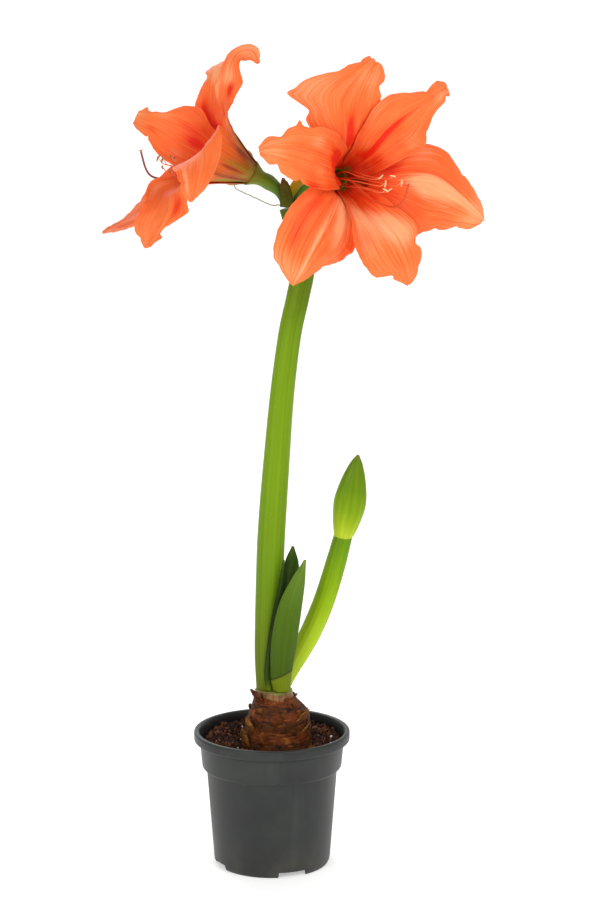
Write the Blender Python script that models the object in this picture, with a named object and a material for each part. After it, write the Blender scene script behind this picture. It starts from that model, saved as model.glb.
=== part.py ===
"""A potted amaryllis: a bulb in a nursery pot, one scape in flower and one in bud.

Lengths below are in millimetres and become metres when a mesh is made. +Z is up, the pot
stands on z = 0 with its axis on the Z axis, and the plant is seen from -Y.

Each bloom has a frame of its own: its origin is the middle of the tube's mouth, its axis
points out of the flower, and clock angles turn counter-clockwise for someone who looks
into it, 90 degrees being up.
"""
import math

import bmesh
import bpy
import numpy as np
from mathutils import Matrix, Vector, noise
from mathutils.bvhtree import BVHTree

MM = 0.001
GAP = 0.35

# Nursery pot
POT_HEIGHT = 105.0
LIP_RADIUS = 60.0
COLLAR_TOP = 97.0
COLLAR_FOOT = 77.0
COLLAR_RADIUS = 55.6
BODY_TOP_RADIUS = 50.3
FOOT_RADIUS = 44.9
WALL = 1.3
FLOOR_Z = 4.6
FOOT_RING = 3.6
PAD_RADIUS = 9.0
POT_SIDES = 40
NOTCHES = 4
NOTCH_WIDTH = 23.0
NOTCH_DEPTH = 9.0
NOTCH_TURN = -68.0
DRAINS = 8
DRAIN_RADIUS = 3.0
DRAIN_CIRCLE = 28.0

# Soil and bulb
SOIL_LEVEL = 94.0
SOIL_LUMP = 1.6
POCKET_GAP = 0.7
WALL_GAP = 0.6
BULB_FOOT = 19.5
BULB_TOP = 137.0
BULB_SIDES = 28

# Blades are thin shells, and rows and columns count their facets
TEPAL_THICK = 0.7
TEPAL_ROWS = 14
TEPAL_COLS = 8
LEAF_THICK = 1.6
LEAF_ROWS = 12
VALVE_THICK = 0.8
VALVE_ROWS = 9
STRAP_COLS = 7
THINNEST = 0.35

# Blooms
TUBE_MOUTH = 9.9
TUBE_BORE = 6.6
CLAW_RADIUS = 8.5
CLAW_HALF = 8.0
CLAW_WRAP = 54.0
WHORL_STEP = 0.75
TUBE_SIDES = 12
BORE_DEPTH = 8.0
BORE_FOOT = 5.6
RING_OUT = 5.0
RING_IN = 2.2
RING_SIDES = 12
RING_TOP = 0.6
RING_FOOT = 2.0
FILAMENT_HALF = 0.55
FILAMENT_STEPS = 11
ANTHER_HALF = 2.6
ANTHER_WIDE = 0.8
STYLE_RADIUS = 1.0
STYLE_STEPS = 16
BRACTEOLE_RADIUS = 0.42
BRACTEOLE_STEPS = 12

# Overlapping tepals are moved apart until their middles are this far from each other
CLEARANCE = 1.35
REACH = 8.0
SPREAD_STEPS = 32


def unit(v):
    """The vector, or each row of vectors, at length one."""
    v = np.asarray(v, float)
    return v / np.linalg.norm(v, axis=-1, keepdims=True)


def spline(points, u):
    """Catmull-Rom curve through the points, read at u from 0 to 1."""
    p = np.asarray(points, float)
    if p.ndim == 1:
        p = p[:, None]
    p = np.vstack([2 * p[0] - p[1], p, 2 * p[-1] - p[-2]])
    s = np.clip(np.asarray(u, float), 0, 1) * (len(p) - 3)
    i = np.minimum(s.astype(int), len(p) - 4)
    f = (s - i)[:, None]
    a, b, c, d = p[i], p[i + 1], p[i + 2], p[i + 3]
    curve = 2 * b + (c - a) * f + (2 * a - 5 * b + 4 * c - d) * f**2
    return 0.5 * (curve + (3 * b - 3 * c + d - a) * f**3)


def even_steps(points, count):
    """Values of u that space count points of the spline evenly along its length."""
    u = np.linspace(0, 1, 240)
    path = spline(points, u)
    length = np.concatenate([[0], np.cumsum(np.linalg.norm(np.diff(path, axis=0), axis=1))])
    return np.interp(np.linspace(0, length[-1], count), length, u)


def turn(v, axis, degrees):
    """Rows of v turned about the matching rows of axis, by degrees for each row."""
    a = np.radians(np.asarray(degrees, float))[..., None]
    dot = np.sum(v * axis, axis=-1, keepdims=True)
    return v * np.cos(a) + np.cross(axis, v) * np.sin(a) + axis * dot * (1 - np.cos(a))


def material(name, colour, roughness):
    """A Principled material from an sRGB hex colour."""
    linear = []
    for i in (1, 3, 5):
        c = int(colour[i:i + 2], 16) / 255
        linear.append(c / 12.92 if c <= 0.04045 else ((c + 0.055) / 1.055) ** 2.4)
    mat = bpy.data.materials.get(name) or bpy.data.materials.new(name)
    mat.use_nodes = True
    shader = mat.node_tree.nodes["Principled BSDF"]
    shader.inputs["Base Color"].default_value = (*linear, 1)
    shader.inputs["Roughness"].default_value = roughness
    return mat


def add_object(name, verts, faces, mat, sharp=40):
    """One named object from points in millimetres, with its faces pointing out."""
    mesh = bpy.data.meshes.new(name)
    mesh.from_pydata([Vector(v) * MM for v in verts], [], faces)
    bm = bmesh.new()
    bm.from_mesh(mesh)
    bmesh.ops.recalc_face_normals(bm, faces=bm.faces)
    if bm.calc_volume(signed=True) < 0:
        bmesh.ops.reverse_faces(bm, faces=bm.faces)
    bm.to_mesh(mesh)
    bm.free()
    mesh.shade_smooth()
    mesh.set_sharp_from_angle(angle=math.radians(sharp))
    obj = bpy.data.objects.new(name, mesh)
    bpy.context.collection.objects.link(obj)
    obj.data.materials.append(mat)
    return obj


def thin_solid(grid, thick):
    """Points and triangles of a closed blade round a grid of points.

    Both faces are cut along the same diagonal, so they never cross.
    """
    rows, cols = grid.shape[:2]
    along = np.gradient(grid, axis=0)
    across = np.gradient(grid, axis=1)
    normal = unit(np.cross(along, across))
    half = np.broadcast_to(np.asarray(thick, float), (rows, cols))[..., None] / 2
    verts = np.concatenate([(grid + normal * half).reshape(-1, 3),
                            (grid - normal * half).reshape(-1, 3)])
    back = rows * cols
    faces = []
    for i in range(rows - 1):
        for j in range(cols - 1):
            a, b = i * cols + j, i * cols + j + 1
            c, d = b + cols, a + cols
            faces += [(a, b, c), (a, c, d), (back + a, back + c, back + b),
                      (back + a, back + d, back + c)]
    rim = [j for j in range(cols)]
    rim += [i * cols + cols - 1 for i in range(1, rows)]
    rim += [(rows - 1) * cols + j for j in range(cols - 2, -1, -1)]
    rim += [i * cols for i in range(rows - 2, 0, -1)]
    for a, b in zip(rim, rim[1:] + rim[:1]):
        faces += [(a, back + a, back + b), (a, back + b, b)]
    return verts, faces


def tube_solid(rings, start=None, end=None):
    """Points and faces of a closed body through rings of equal count, tipped or capped."""
    count, sides = rings.shape[:2]
    verts = list(rings.reshape(-1, 3))
    faces = []
    for i in range(count - 1):
        for j in range(sides):
            k = (j + 1) % sides
            a, b = i * sides + j, i * sides + k
            faces.append((a, b, b + sides, a + sides))
    for tip, first in ((start, 0), (end, (count - 1) * sides)):
        ring = [first + j for j in range(sides)]
        if tip is None:
            faces.append(ring)
            continue
        verts.append(np.asarray(tip, float))
        for j in range(sides):
            faces.append((ring[j], ring[(j + 1) % sides], len(verts) - 1))
    return verts, faces


def sweep(path, wide, deep, sides, side=(1, 0, 0), lobes=None):
    """Rings of an oval section along a path: wide lies along side, deep across it."""
    along = unit(np.gradient(path, axis=0))
    right = np.asarray(side, float) - along * (along @ np.asarray(side, float))[:, None]
    right = unit(right)
    ahead = np.cross(along, right)
    a = np.linspace(0, 2 * np.pi, sides, endpoint=False)
    wave = np.ones((len(path), sides)) if lobes is None else 1 + lobes(a)
    x = np.cos(a)[None, :] * wave * np.asarray(wide, float)[:, None]
    y = np.sin(a)[None, :] * wave * np.asarray(deep, float)[:, None]
    return path[:, None] + x[..., None] * right[:, None] + y[..., None] * ahead[:, None]


def lathe(name, profile, sides, mat):
    """A turned solid from a closed outline of (radius, height) that starts on the axis."""
    bm = bmesh.new()
    points = [bm.verts.new((r * MM, 0, z * MM)) for r, z in profile]
    edges = [bm.edges.new(pair) for pair in zip(points, points[1:])]
    bmesh.ops.spin(bm, geom=points + edges, cent=(0, 0, 0), axis=(0, 0, 1),
                   angle=math.tau, steps=sides, use_merge=True, use_duplicate=False)
    bmesh.ops.remove_doubles(bm, verts=bm.verts, dist=1e-5)
    bmesh.ops.recalc_face_normals(bm, faces=bm.faces)
    if bm.calc_volume(signed=True) < 0:
        bmesh.ops.reverse_faces(bm, faces=bm.faces)
    mesh = bpy.data.meshes.new(name)
    bm.to_mesh(mesh)
    bm.free()
    mesh.shade_smooth()
    mesh.set_sharp_from_angle(angle=math.radians(35))
    obj = bpy.data.objects.new(name, mesh)
    bpy.context.collection.objects.link(obj)
    obj.data.materials.append(mat)
    return obj


def cut(obj, cutter, name):
    """Subtract the cutter, which stays as a wire guide."""
    cutter.hide_render = True
    cutter.display_type = "WIRE"
    mod = obj.modifiers.new(name, "BOOLEAN")
    mod.operation = "DIFFERENCE"
    mod.object = cutter


def pot_inner_radius(z):
    """Inner wall radius at a height."""
    heights = (FLOOR_Z + WALL, COLLAR_FOOT - 2, COLLAR_FOOT + 1, COLLAR_TOP)
    outer = (FOOT_RADIUS, BODY_TOP_RADIUS, COLLAR_RADIUS - 1.8, COLLAR_RADIUS)
    return float(np.interp(z, heights, outer)) - WALL


def build_pot():
    """Injection-moulded pot: foot ring, tapered body, collar and rolled lip."""
    foot_in = FOOT_RADIUS - FOOT_RING
    top = POT_HEIGHT
    outside = [
        (0, 0), (PAD_RADIUS, 0), (PAD_RADIUS + 1, FLOOR_Z), (foot_in - 0.8, FLOOR_Z),
        (foot_in, 0), (FOOT_RADIUS - 1.6, 0), (FOOT_RADIUS - 0.4, 1.1), (FOOT_RADIUS, 3.6),
        (BODY_TOP_RADIUS, COLLAR_FOOT - 2.4), (BODY_TOP_RADIUS + 0.5, COLLAR_FOOT - 1.2),
        (COLLAR_RADIUS - 2.2, COLLAR_FOOT - 0.4), (COLLAR_RADIUS - 1.8, COLLAR_FOOT + 0.8),
        (COLLAR_RADIUS, COLLAR_TOP), (LIP_RADIUS - 1.2, COLLAR_TOP + 0.4),
        (LIP_RADIUS, COLLAR_TOP + 1.8), (LIP_RADIUS, top - 1.8), (LIP_RADIUS - 1.3, top),
        (LIP_RADIUS - 2.6, top), (LIP_RADIUS - 3.7, top - 1.2),
    ]
    inside = [(pot_inner_radius(z), z) for z in
              (COLLAR_TOP, COLLAR_FOOT + 1, COLLAR_FOOT - 2, FLOOR_Z + WALL + 2.5)]
    floor = [(pot_inner_radius(FLOOR_Z) - 1.2, FLOOR_Z + WALL), (0, FLOOR_Z + WALL)]
    pot = lathe("pot", outside + inside + floor, POT_SIDES,
                material("pot_plastic", "#43474A", 0.42))
    bm = bmesh.new()
    for i in range(NOTCHES):
        angle = math.radians(NOTCH_TURN + i * 360 / NOTCHES)
        box = bmesh.ops.create_cube(bm, size=1)["verts"]
        bmesh.ops.scale(bm, verts=box, vec=(NOTCH_DEPTH * MM, NOTCH_WIDTH * MM, 2 * FLOOR_Z * MM))
        bmesh.ops.translate(bm, verts=box, vec=((FOOT_RADIUS - 1.2) * MM, 0, -0.1 * MM))
        bmesh.ops.rotate(bm, verts=box, cent=(0, 0, 0), matrix=Matrix.Rotation(angle, 3, "Z"))
    for i in range(DRAINS):
        angle = math.radians((i + 0.5) * 360 / DRAINS)
        hole = bmesh.ops.create_cone(bm, cap_ends=True, segments=10, radius1=DRAIN_RADIUS * MM,
                                     radius2=DRAIN_RADIUS * MM, depth=8 * MM)["verts"]
        spot = (DRAIN_CIRCLE * MM * math.cos(angle), DRAIN_CIRCLE * MM * math.sin(angle),
                (FLOOR_Z + WALL / 2) * MM)
        bmesh.ops.translate(bm, verts=hole, vec=spot)
    mesh = bpy.data.meshes.new("pot_cutter")
    bm.to_mesh(mesh)
    bm.free()
    cutter = bpy.data.objects.new("pot_cutter", mesh)
    bpy.context.collection.objects.link(cutter)
    cut(pot, cutter, "foot notches and drain holes")
    return pot


# Bulb: height, radius, and how far its middle leans towards +X, from the base plate up
BULB_PROFILE = (
    (22, 12, 0), (27, 20, 0), (38, 28, 0.5), (56, 32.5, 1), (76, 31, 2.5), (90, 27.5, 4),
    (99, 25.8, 4.5), (101, 27.2, 4.5), (108, 24.6, 5), (110, 26.2, 5.2), (116, 23.6, 5.5),
    (118, 25.2, 6), (122.5, 21.5, 5.2), (124.5, 22.4, 4.4), (128.5, 17.6, 2.6),
    (130, 18.2, 2.2), (133, 15.8, 1.6), (BULB_TOP, 14.6, 1.5),
)


def bulb_rings(grow, lowest, highest):
    """Rings of the bulb between two heights, its surface moved out by grow."""
    a = np.linspace(0, 2 * np.pi, BULB_SIDES, endpoint=False)
    rings = []
    for z, r, lean in BULB_PROFILE:
        if not lowest <= z <= highest:
            continue
        ragged = min(1.0, max(0.0, (z - 95) / 6)) * min(1.0, (BULB_TOP - z) / 6)
        out = [r + grow + ragged * 1.5 * noise.noise(Vector((2.2 * math.cos(t),
               2.2 * math.sin(t), z / 4))) for t in a]
        dip = [ragged * 1.3 * noise.noise(Vector((3 * math.cos(t), 3 * math.sin(t),
               9 + z / 3))) for t in a]
        rings.append([(lean + o * math.cos(t), o * math.sin(t), z + d)
                      for t, o, d in zip(a, out, dip)])
    return np.array(rings)


def build_bulb():
    """The bulb with its stacked, ragged brown tunics and the neck that the shoots leave."""
    rings = bulb_rings(0, 0, BULB_TOP)
    verts, faces = tube_solid(rings, start=(0, 0, BULB_FOOT))
    return add_object("bulb", verts, faces, material("bulb_tunic", "#7A4626", 0.8), 60)


def build_soil():
    """Potting soil that fills the pot, lumpy on top, with a plain pocket for the bulb."""
    a = np.linspace(0, 2 * np.pi, BULB_SIDES, endpoint=False)
    floor = FLOOR_Z + WALL + GAP
    rows = []
    for r, z in ((pot_inner_radius(0) - 2, floor),
                 (pot_inner_radius(COLLAR_FOOT - 2) - WALL_GAP, COLLAR_FOOT - 2),
                 (pot_inner_radius(COLLAR_FOOT + 1) - WALL_GAP, COLLAR_FOOT + 1.6)):
        rows.append([(r * math.cos(t), r * math.sin(t), z) for t in a])
    pocket = bulb_rings(POCKET_GAP, 0, SOIL_LEVEL - 3)
    wall = pot_inner_radius(SOIL_LEVEL) - WALL_GAP - 0.2
    edge = np.array([(wall * math.cos(t), wall * math.sin(t), 0) for t in a])
    lip = pocket[-1] * (1, 1, 0)
    for share in (0, 0.06, 0.28, 0.5, 0.72, 0.92, 1.0):
        ring = edge * (1 - share) + lip * share
        for p in ring:
            lump = noise.fractal(Vector((p[0] / 9, p[1] / 9, 3.3)), 1.0, 2.0, 3)
            drop = -2.2 if share == 0 else 0
            p[2] = SOIL_LEVEL + SOIL_LUMP * lump + drop - 1.5 * (share == 1)
        rows.append(ring)
    rings = np.array([np.array(r) for r in rows] + list(pocket[::-1]))
    verts, faces = tube_solid(rings, start=(0, 0, floor), end=(0, 0, BULB_FOOT - POCKET_GAP))
    return add_object("soil", verts, faces, material("potting_soil", "#3A2119", 0.95), 80)


# Scapes: middle line and half widths in X and Y
MAIN_SCAPE = (
    (-2.2, 1, BULB_TOP + GAP), (-3, 1, 165), (-2.4, 1, 190), (-1.6, 1, 215), (-0.5, 1, 250),
    (1.6, 1, 285), (4.2, 0, 320), (7, 0, 355), (10.2, 0, 385), (14.5, 0, 415),
    (20, 0, 440), (24.2, 0, 462), (23, 1, 480), (18, 2, 495), (14.6, 2, 507),
)
MAIN_WIDE = (9.6, 10.0, 10.3, 10.5, 10.5, 10.3, 9.8, 9.2, 8.8, 8.6, 8.6, 8.6, 8.4, 8.2, 8.4)
SECOND_SCAPE = (
    (9.9, 7.6, BULB_TOP + GAP), (14.4, 10, 149), (21.8, 12.6, 163), (31.4, 16, 181),
    (40.6, 19, 203), (48.6, 21, 229), (54.8, 22, 252),
)
SECOND_WIDE = (4.4, 6.2, 7.6, 8.2, 8.2, 7.9, 7.2)


def build_scape(name, points, wide, flat, rings, mat):
    """A leafless flower stem, a slightly flattened stalk."""
    u = even_steps(points, rings)
    path = spline(points, u)
    path[0], path[-1] = points[0], points[-1]
    half = spline(wide, u)[:, 0]
    body = sweep(path, half, half * flat, 14)
    body[0, :, 2] = points[0][2]
    body[-1, :, 2] = points[-1][2]
    verts, faces = tube_solid(body)
    return add_object(name, verts, faces, mat, 70)


def build_bud(mat):
    """The closed spathe: two valves that still hold the young flowers."""
    base = np.array(SECOND_SCAPE[-1]) + (0.1, 0, GAP)
    points = (base, base + (2.4, 0.5, 12), base + (5.2, 0.8, 27), base + (7.8, 1, 43),
              base + (9.9, 1, 56), base + (11.2, 1, 63.5))
    wide = (7.4, 10.6, 12.4, 9.6, 5.2, 0.9)
    deep = (6.6, 8.6, 9.6, 7.2, 3.8, 0.8)
    u = even_steps(points, 11)
    path = spline(points, u)

    def seam(a):
        return -0.05 * np.exp(-((a - 1.35 * np.pi) / 0.22) ** 2)[None, :]

    rings = sweep(path, spline(wide, u)[:, 0], spline(deep, u)[:, 0], 16, lobes=seam)
    rings[0, :, 2] = base[2]
    verts, faces = tube_solid(rings, end=path[-1] + (0.5, 0, 1.6))
    return add_object("flower_bud", verts, faces, mat, 60)


def strap(points, half, cup, twist, rows, cols):
    """Grid of a strap-shaped blade: middle line, half widths, channel and twist in degrees."""
    u = even_steps(points, rows)
    path = spline(points, u)
    along = unit(np.gradient(path, axis=0))
    across = unit(np.array((1, 0, 0)) - along * along[:, :1])
    across = turn(across, along, spline(twist, u)[:, 0])
    up = np.cross(along, across)
    v = np.linspace(-1, 1, cols)
    w = np.maximum(spline(half, u), THINNEST)
    bend = np.radians(spline(cup, u))
    bend = np.where(np.abs(bend) < 0.02, 0.02, bend)
    x = w * np.sin(bend * v) / bend
    y = w * (1 - np.cos(bend * v)) / bend
    return path[:, None] + x[..., None] * across[:, None] + y[..., None] * up[:, None]


# Leaves: middle line, half widths, channel and twist in degrees
LEAVES = {
    "leaf_front": dict(
        points=((7.5, -10.8, BULB_TOP + GAP + 0.15), (7.4, -13.6, 152), (10, -16, 178),
                (14.6, -18.6, 205), (20.4, -20.4, 226), (25.6, -21.5, 243.5)),
        half=(7.2, 9.4, 10.6, 9.6, 6.0, 0.8), cup=(50, 54, 44, 40, 44, 50), twist=(0, 6, 10)),
    "leaf_back": dict(
        points=((10.3, -4.9, BULB_TOP + GAP), (9.8, -6, 155), (11.6, -9.2, 190),
                (13.6, -9.2, 220), (15, -8, 238), (16.2, -7, 251)),
        half=(4.2, 4.8, 7.0, 7.6, 6.0, 0.8), cup=(30, 34, 46, 54, 50, 40), twist=(0, -8, -12)),
    "leaf_side": dict(
        points=((-2.4, -8.9, BULB_TOP + GAP + 0.8), (-3.6, -9.2, 154), (1.2, -9.9, 188),
                (6.2, -11.8, 215), (9.4, -12.6, 241.5)),
        half=(2.0, 2.2, 2.6, 2.6, 0.7), cup=(20, 30, 40, 40, 40), twist=(0, 6, 10)),
}


def build_leaf(name, mat):
    """A young strap leaf, channelled, with a rounded point."""
    leaf = LEAVES[name]
    grid = strap(**leaf, rows=LEAF_ROWS, cols=STRAP_COLS)
    grid[0, :, 2] = leaf["points"][0][2]
    v = np.linspace(-1, 1, STRAP_COLS)[None, :]
    taper = np.linspace(1, 0.55, LEAF_ROWS)[:, None]
    verts, faces = thin_solid(grid, LEAF_THICK * taper * (1 - 0.45 * v**2))
    return add_object(name, verts, faces, mat, 60)


# Each tepal has a clock angle, a whorl (0 outer, 1 inner), a margin wave (height in mm, waves
# along the blade, phase), a lean of its cross lines and stations from claw to tip. A station
# is how far out from the bloom's axis, how far ahead of the tube's mouth and how far sideways
# the midrib is, then the half width on the clockwise and on the other side, in mm, and the
# cupping and the twist of the blade there, in degrees.
LEFT_BLOOM = {
    "origin": (-14.5, -8.0, 533.0), "yaw": -163.0, "pitch": 27.0, "roll": 28.0,
    "tepals": {
        "top": (90, 0, (1.2, 3, 0), 0, (
            (15, 14, 0, 13, 13, 52, 0), (22, 27, 0, 17, 17, 44, 0), (31, 37, 0, 19, 24, 30, 0),
            (42, 44, -2, 18, 22, 16, 8), (54, 49, -4, 16, 12, 4, 14), (65, 50, -6, 12, 13, 0, 16),
            (71, 48, -7, 5, 11, 0, 8))),
        "near_upper": (30, 1, (1.2, 3, 5), 0, (
            (15, 14, 0, 13, 13, 52, 0), (23, 28, 0, 16, 16, 42, 0), (35, 42, -1, 12, 14, 24, 8),
            (50, 50, 1, 10, 11, 10, 40), (62, 54, 5, 12, 9, 0, 58), (70, 57, 9, 5, 6, 0, 60),
            (75, 55, 14, 5, 5, 0, 60), (78, 49, 19, 7, 6, 0, 60), (77, 42, 22, 5, 5, 0, 60),
            (72, 36, 22, 1.5, 1.5, 0, 60))),
        "near_lower": (-30, 0, (1.2, 3, 4), 0.75, (
            (15, 14, 0, 13, 13, 52, 0), (21.5, 27, 0, 16, 15, 46, 0), (25.5, 39, 1, 13, 14, 42, 0),
            (29.5, 47, 0, 16, 16, 34, -8), (37, 52, -3, 20, 18, 22, -24),
            (48, 52, -9, 18, 16, 10, -42), (59, 51, -19, 13, 12, 0, -60),
            (66, 50, -30, 8, 7, 0, -70), (69, 50, -39, 1, 1, 0, -70))),
        "lower": (-90, 1, (1.2, 3, 3), 0.7, (
            (15, 14, 0, 13, 13, 52, 0), (21.5, 28, 0, 18, 16, 45, 0), (32, 42, 1, 28, 12, 53, 0),
            (46, 52, 0, 21, 11, 44, -10), (58, 53, -3, 19, 18, 24, -28),
            (67, 53, -8, 19, 17, 6, -33), (75, 51, -15, 14, 7, 0, -30),
            (83, 51, -22, 4, 3, 0, -20))),
        "far_lower": (-150, 0, (1.2, 3, 2), 0, (
            (15, 14, 0, 13, 13, 52, 0), (22, 28, 1, 18, 18, 42, 0), (32, 41, 4, 20, 21, 34, 0),
            (47, 50, 8, 19, 23, 20, 0), (64, 56, 10, 14, 18, 6, 0), (82, 64, 10, 7, 9, 0, 0),
            (96, 71, 8, 1.5, 1.5, 0, 0))),
        "far_upper": (150, 1, (1.2, 3, 1), 0, (
            (15, 14, 0, 13, 13, 52, 0), (21.5, 30, 0, 17, 18, 46, 0), (26, 45, 0, 23, 21, 40, 0),
            (32, 58, -1, 24, 20, 32, 0), (42, 70, -1, 16, 13, 22, 0), (53, 78, 0, 9, 9, 8, 0),
            (62, 82, 0, 5, 5, 0, 0))),
    },
    "tube": ((10.4, 2, 507.35, 3.6), (9.6, 1.2, 513, 3.5), (5.8, -1, 519.6, 4.2),
             (-0.9, -3.8, 525.6, 5.6), (-6.4, -5.5, 528.6, 5.4), (-10.6, -6.8, 530.9, 7.2),
             (-14.5, -8, 533, TUBE_MOUTH)),
    "anthers": (58, -20, -13),
    "style": ((-7.4, 0, 0), (10, -0.5, 0), (20, -5, -2), (32, -14, -8), (40, -21, -11), (48, -28, -13),
              (60, -34, -14), (69, -32, -13), (80, -21, -11)),
}
RIGHT_BLOOM = {
    "origin": (49.3, -35.0, 531.0), "yaw": -57.0, "pitch": 5.0, "roll": 14.0,
    "tepals": {
        "top": (90, 0, (1.2, 3, 0), 0, (
            (15, 14, 1, 13, 13, 52, 0), (22.5, 29, 4, 17, 18, 44, 0), (36, 38, 4, 18, 27, 24, -8),
            (53, 44, 0, 20, 46, 5, -20), (64, 45, -8, 18, 26, -5, -20),
            (72.5, 44, -19, 15, 12, -10, -10), (77, 41, -29, 7, 5, -10, 0))),
        "upper_left": (150, 1, (1.2, 3, 1), 0, (
            (15, 14, -2, 13, 13, 52, 0), (24, 28, -3, 17, 18, 42, 0), (42, 40, -3, 21, 22, 20, 0),
            (58, 46, -2, 21, 22, 5, 0), (74, 47, -1, 16, 18, -10, 0), (86, 42, 1, 9, 10, -20, 0),
            (92, 36, 4, 3, 3, -20, 0))),
        "lower_left": (-150, 0, (1.2, 3, 2), 0, (
            (15, 14, -3, 13, 13, 52, 0), (23, 27, -5, 18, 18, 40, 0), (38, 33.5, -6, 23, 28, 5, 0),
            (56, 37, -5, 26, 35, -25, 0), (74, 38, -1, 26, 24, -35, 0), (88, 35, 5, 19, 9, -30, 0),
            (96, 31, 8, 2, 2, -20, 0))),
        "bottom": (-90, 1, (1.2, 3, 3), 0, (
            (15, 14, -2, 13, 13, 52, 0), (22, 28, -4, 17, 17, 42, 0), (32, 40, -3, 24, 20, 20, 0),
            (47, 47, 1, 31, 24, 0, 0), (62, 48, 5, 26, 21, -12, 0), (74, 46, 8, 12, 16, -15, 0),
            (84, 42, 10, 3, 3, 0, 0))),
        "lower_right": (-30, 0, (1.2, 3, 4), 0, (
            (15, 14, 0, 13, 13, 52, 0), (23, 27, 3, 18, 18, 40, 0), (35, 37, 7, 32, 24, 10, 0),
            (52, 45, 9, 42, 27, -20, 0), (74, 46, 4, 30, 19, -30, 0), (94, 43, -2, 17, 11, -30, 0),
            (105, 40, -7, 4, 4, -20, 0))),
        "upper_right": (30, 1, (1.2, 3, 5), 0, (
            (15, 14, 2, 13, 13, 52, 0), (22, 29, 6, 17, 17, 44, 0), (31, 41, 10, 22, 22, 32, 0),
            (45, 49, 11, 26, 24, 20, 0), (67, 53, 7, 12, 10, 20, 0), (83, 52, 3, 8, 8, 10, 0),
            (91, 49, -2, 5, 5, 0, 0))),
    },
    "tube": ((18.6, 2, 507.35, 3.6), (20.6, 1, 514, 3.5), (26, -3, 521.6, 3.7),
             (33.2, -10.4, 526.8, 4.6), (38.4, -18.2, 529.2, 5.6), (43, -25.5, 530.3, 5.4),
             (46.3, -30.4, 530.8, 7.4), (49.3, -35, 531, TUBE_MOUTH)),
    "anthers": (62, -5, 2),
    "style": ((-7.4, 0, 0), (10, -0.5, 0), (20, -4, 0), (30, -11, 1.5), (43, -18, 4), (61, -22, 6),
              (72, -17, 7), (78, -5, 8)),
}


def bloom_frame(bloom):
    """Origin, right, up and axis of a bloom, as seen by someone who looks into it."""
    yaw, pitch = math.radians(bloom["yaw"]), math.radians(bloom["pitch"])
    axis = np.array([math.cos(yaw) * math.cos(pitch), math.sin(yaw) * math.cos(pitch),
                     math.sin(pitch)])
    right = unit(np.cross((0, 0, 1), axis))
    return np.array(bloom["origin"]), right, np.cross(axis, right), axis


def tepal_grid(bloom, name, rows, cols):
    """Grid of points of one tepal, rows from claw to tip and columns clockwise side first."""
    clock, whorl, wave, lean, stations = bloom["tepals"][name]
    origin, right, up, axis = bloom_frame(bloom)
    angle = math.radians(clock + bloom["roll"])
    out = right * math.cos(angle) + up * math.sin(angle)
    side = up * math.cos(angle) - right * math.sin(angle)
    claw = (CLAW_RADIUS, GAP + TEPAL_THICK / 2, 0, CLAW_HALF, CLAW_HALF, CLAW_WRAP, 0)
    table = np.array([claw] + list(stations), float)
    table[:, 0] += WHORL_STEP * (1 if whorl == 0 else -1)
    u = even_steps(table[:, :3], rows)
    row = spline(table, u)
    path = origin + row[:, :1] * out + row[:, 1:2] * axis + row[:, 2:3] * side
    along = unit(np.gradient(path, axis=0))
    across = unit(side - along * (along @ side)[:, None])
    across = turn(across, along, row[:, 6])
    face = np.cross(along, across)
    across = across - lean * np.clip((u[:, None] - 0.1) / 0.3, 0, 1) * along
    v = np.linspace(-1, 1, cols)[None, :]
    half = np.maximum(np.where(v < 0, row[:, 3:4], row[:, 4:5]), 0.4)
    mean = np.maximum(row[:, 3:5].mean(axis=1, keepdims=True), 0.4)
    bend = np.radians(row[:, 5:6])
    bend = np.where(np.abs(bend) < 0.02, 0.02, bend) / mean
    x = np.sin(bend * half * v) / bend
    y = (1 - np.cos(bend * half * v)) / bend
    size, count, phase = wave
    grow = np.clip((u[:, None] - 0.25) / 0.35, 0, 1) * np.clip((1 - u[:, None]) / 0.12, 0, 1)
    ripple = np.sin(2 * np.pi * count * u[:, None] + phase + 1.3 * v)
    y = y + size * grow * np.abs(v) ** 1.7 * ripple
    grid = path[:, None] + x[..., None] * across[:, None] + y[..., None] * face[:, None]
    grid[0] -= ((grid[0] - origin) @ axis - claw[1])[:, None] * axis
    return grid


def blade_tree(grid):
    """Search tree of a blade's middle surface."""
    rows, cols = grid.shape[:2]
    quads = [(i * cols + j, i * cols + j + 1, (i + 1) * cols + j + 1, (i + 1) * cols + j)
             for i in range(rows - 1) for j in range(cols - 1)]
    tris = [t for a, b, c, d in quads for t in ((a, c, b), (a, d, c))]
    return BVHTree.FromPolygons([Vector(p) for p in grid.reshape(-1, 3)], tris)


def push_off(grid, trees, facing):
    """How each point of a blade has to move to clear the other blades.

    facing is 1 for an inner tepal, which stays in front of them, and -1 for an outer one.
    """
    push = np.zeros(grid.shape)
    for i, j in np.ndindex(grid.shape[:2]):
        for tree in trees:
            spot, normal, _, far = tree.find_nearest(Vector(grid[i, j]), REACH)
            if spot is None:
                continue
            ahead = facing * (Vector(grid[i, j]) - spot).dot(normal)
            beside = math.sqrt(max(0.0, far**2 - ahead**2))
            if ahead < CLEARANCE and beside < CLEARANCE:
                push[i, j] += facing * (CLEARANCE - ahead) * np.array(normal)
    padded = np.pad(push, ((1, 1), (1, 1), (0, 0)), mode="edge")
    near = sum(padded[1 + di:1 + di + grid.shape[0], 1 + dj:1 + dj + grid.shape[1]]
               for di in (-1, 0, 1) for dj in (-1, 0, 1)) / 9
    size = np.linalg.norm(push, axis=2, keepdims=True)
    return np.where(size > np.linalg.norm(near, axis=2, keepdims=True), push, near)


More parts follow.
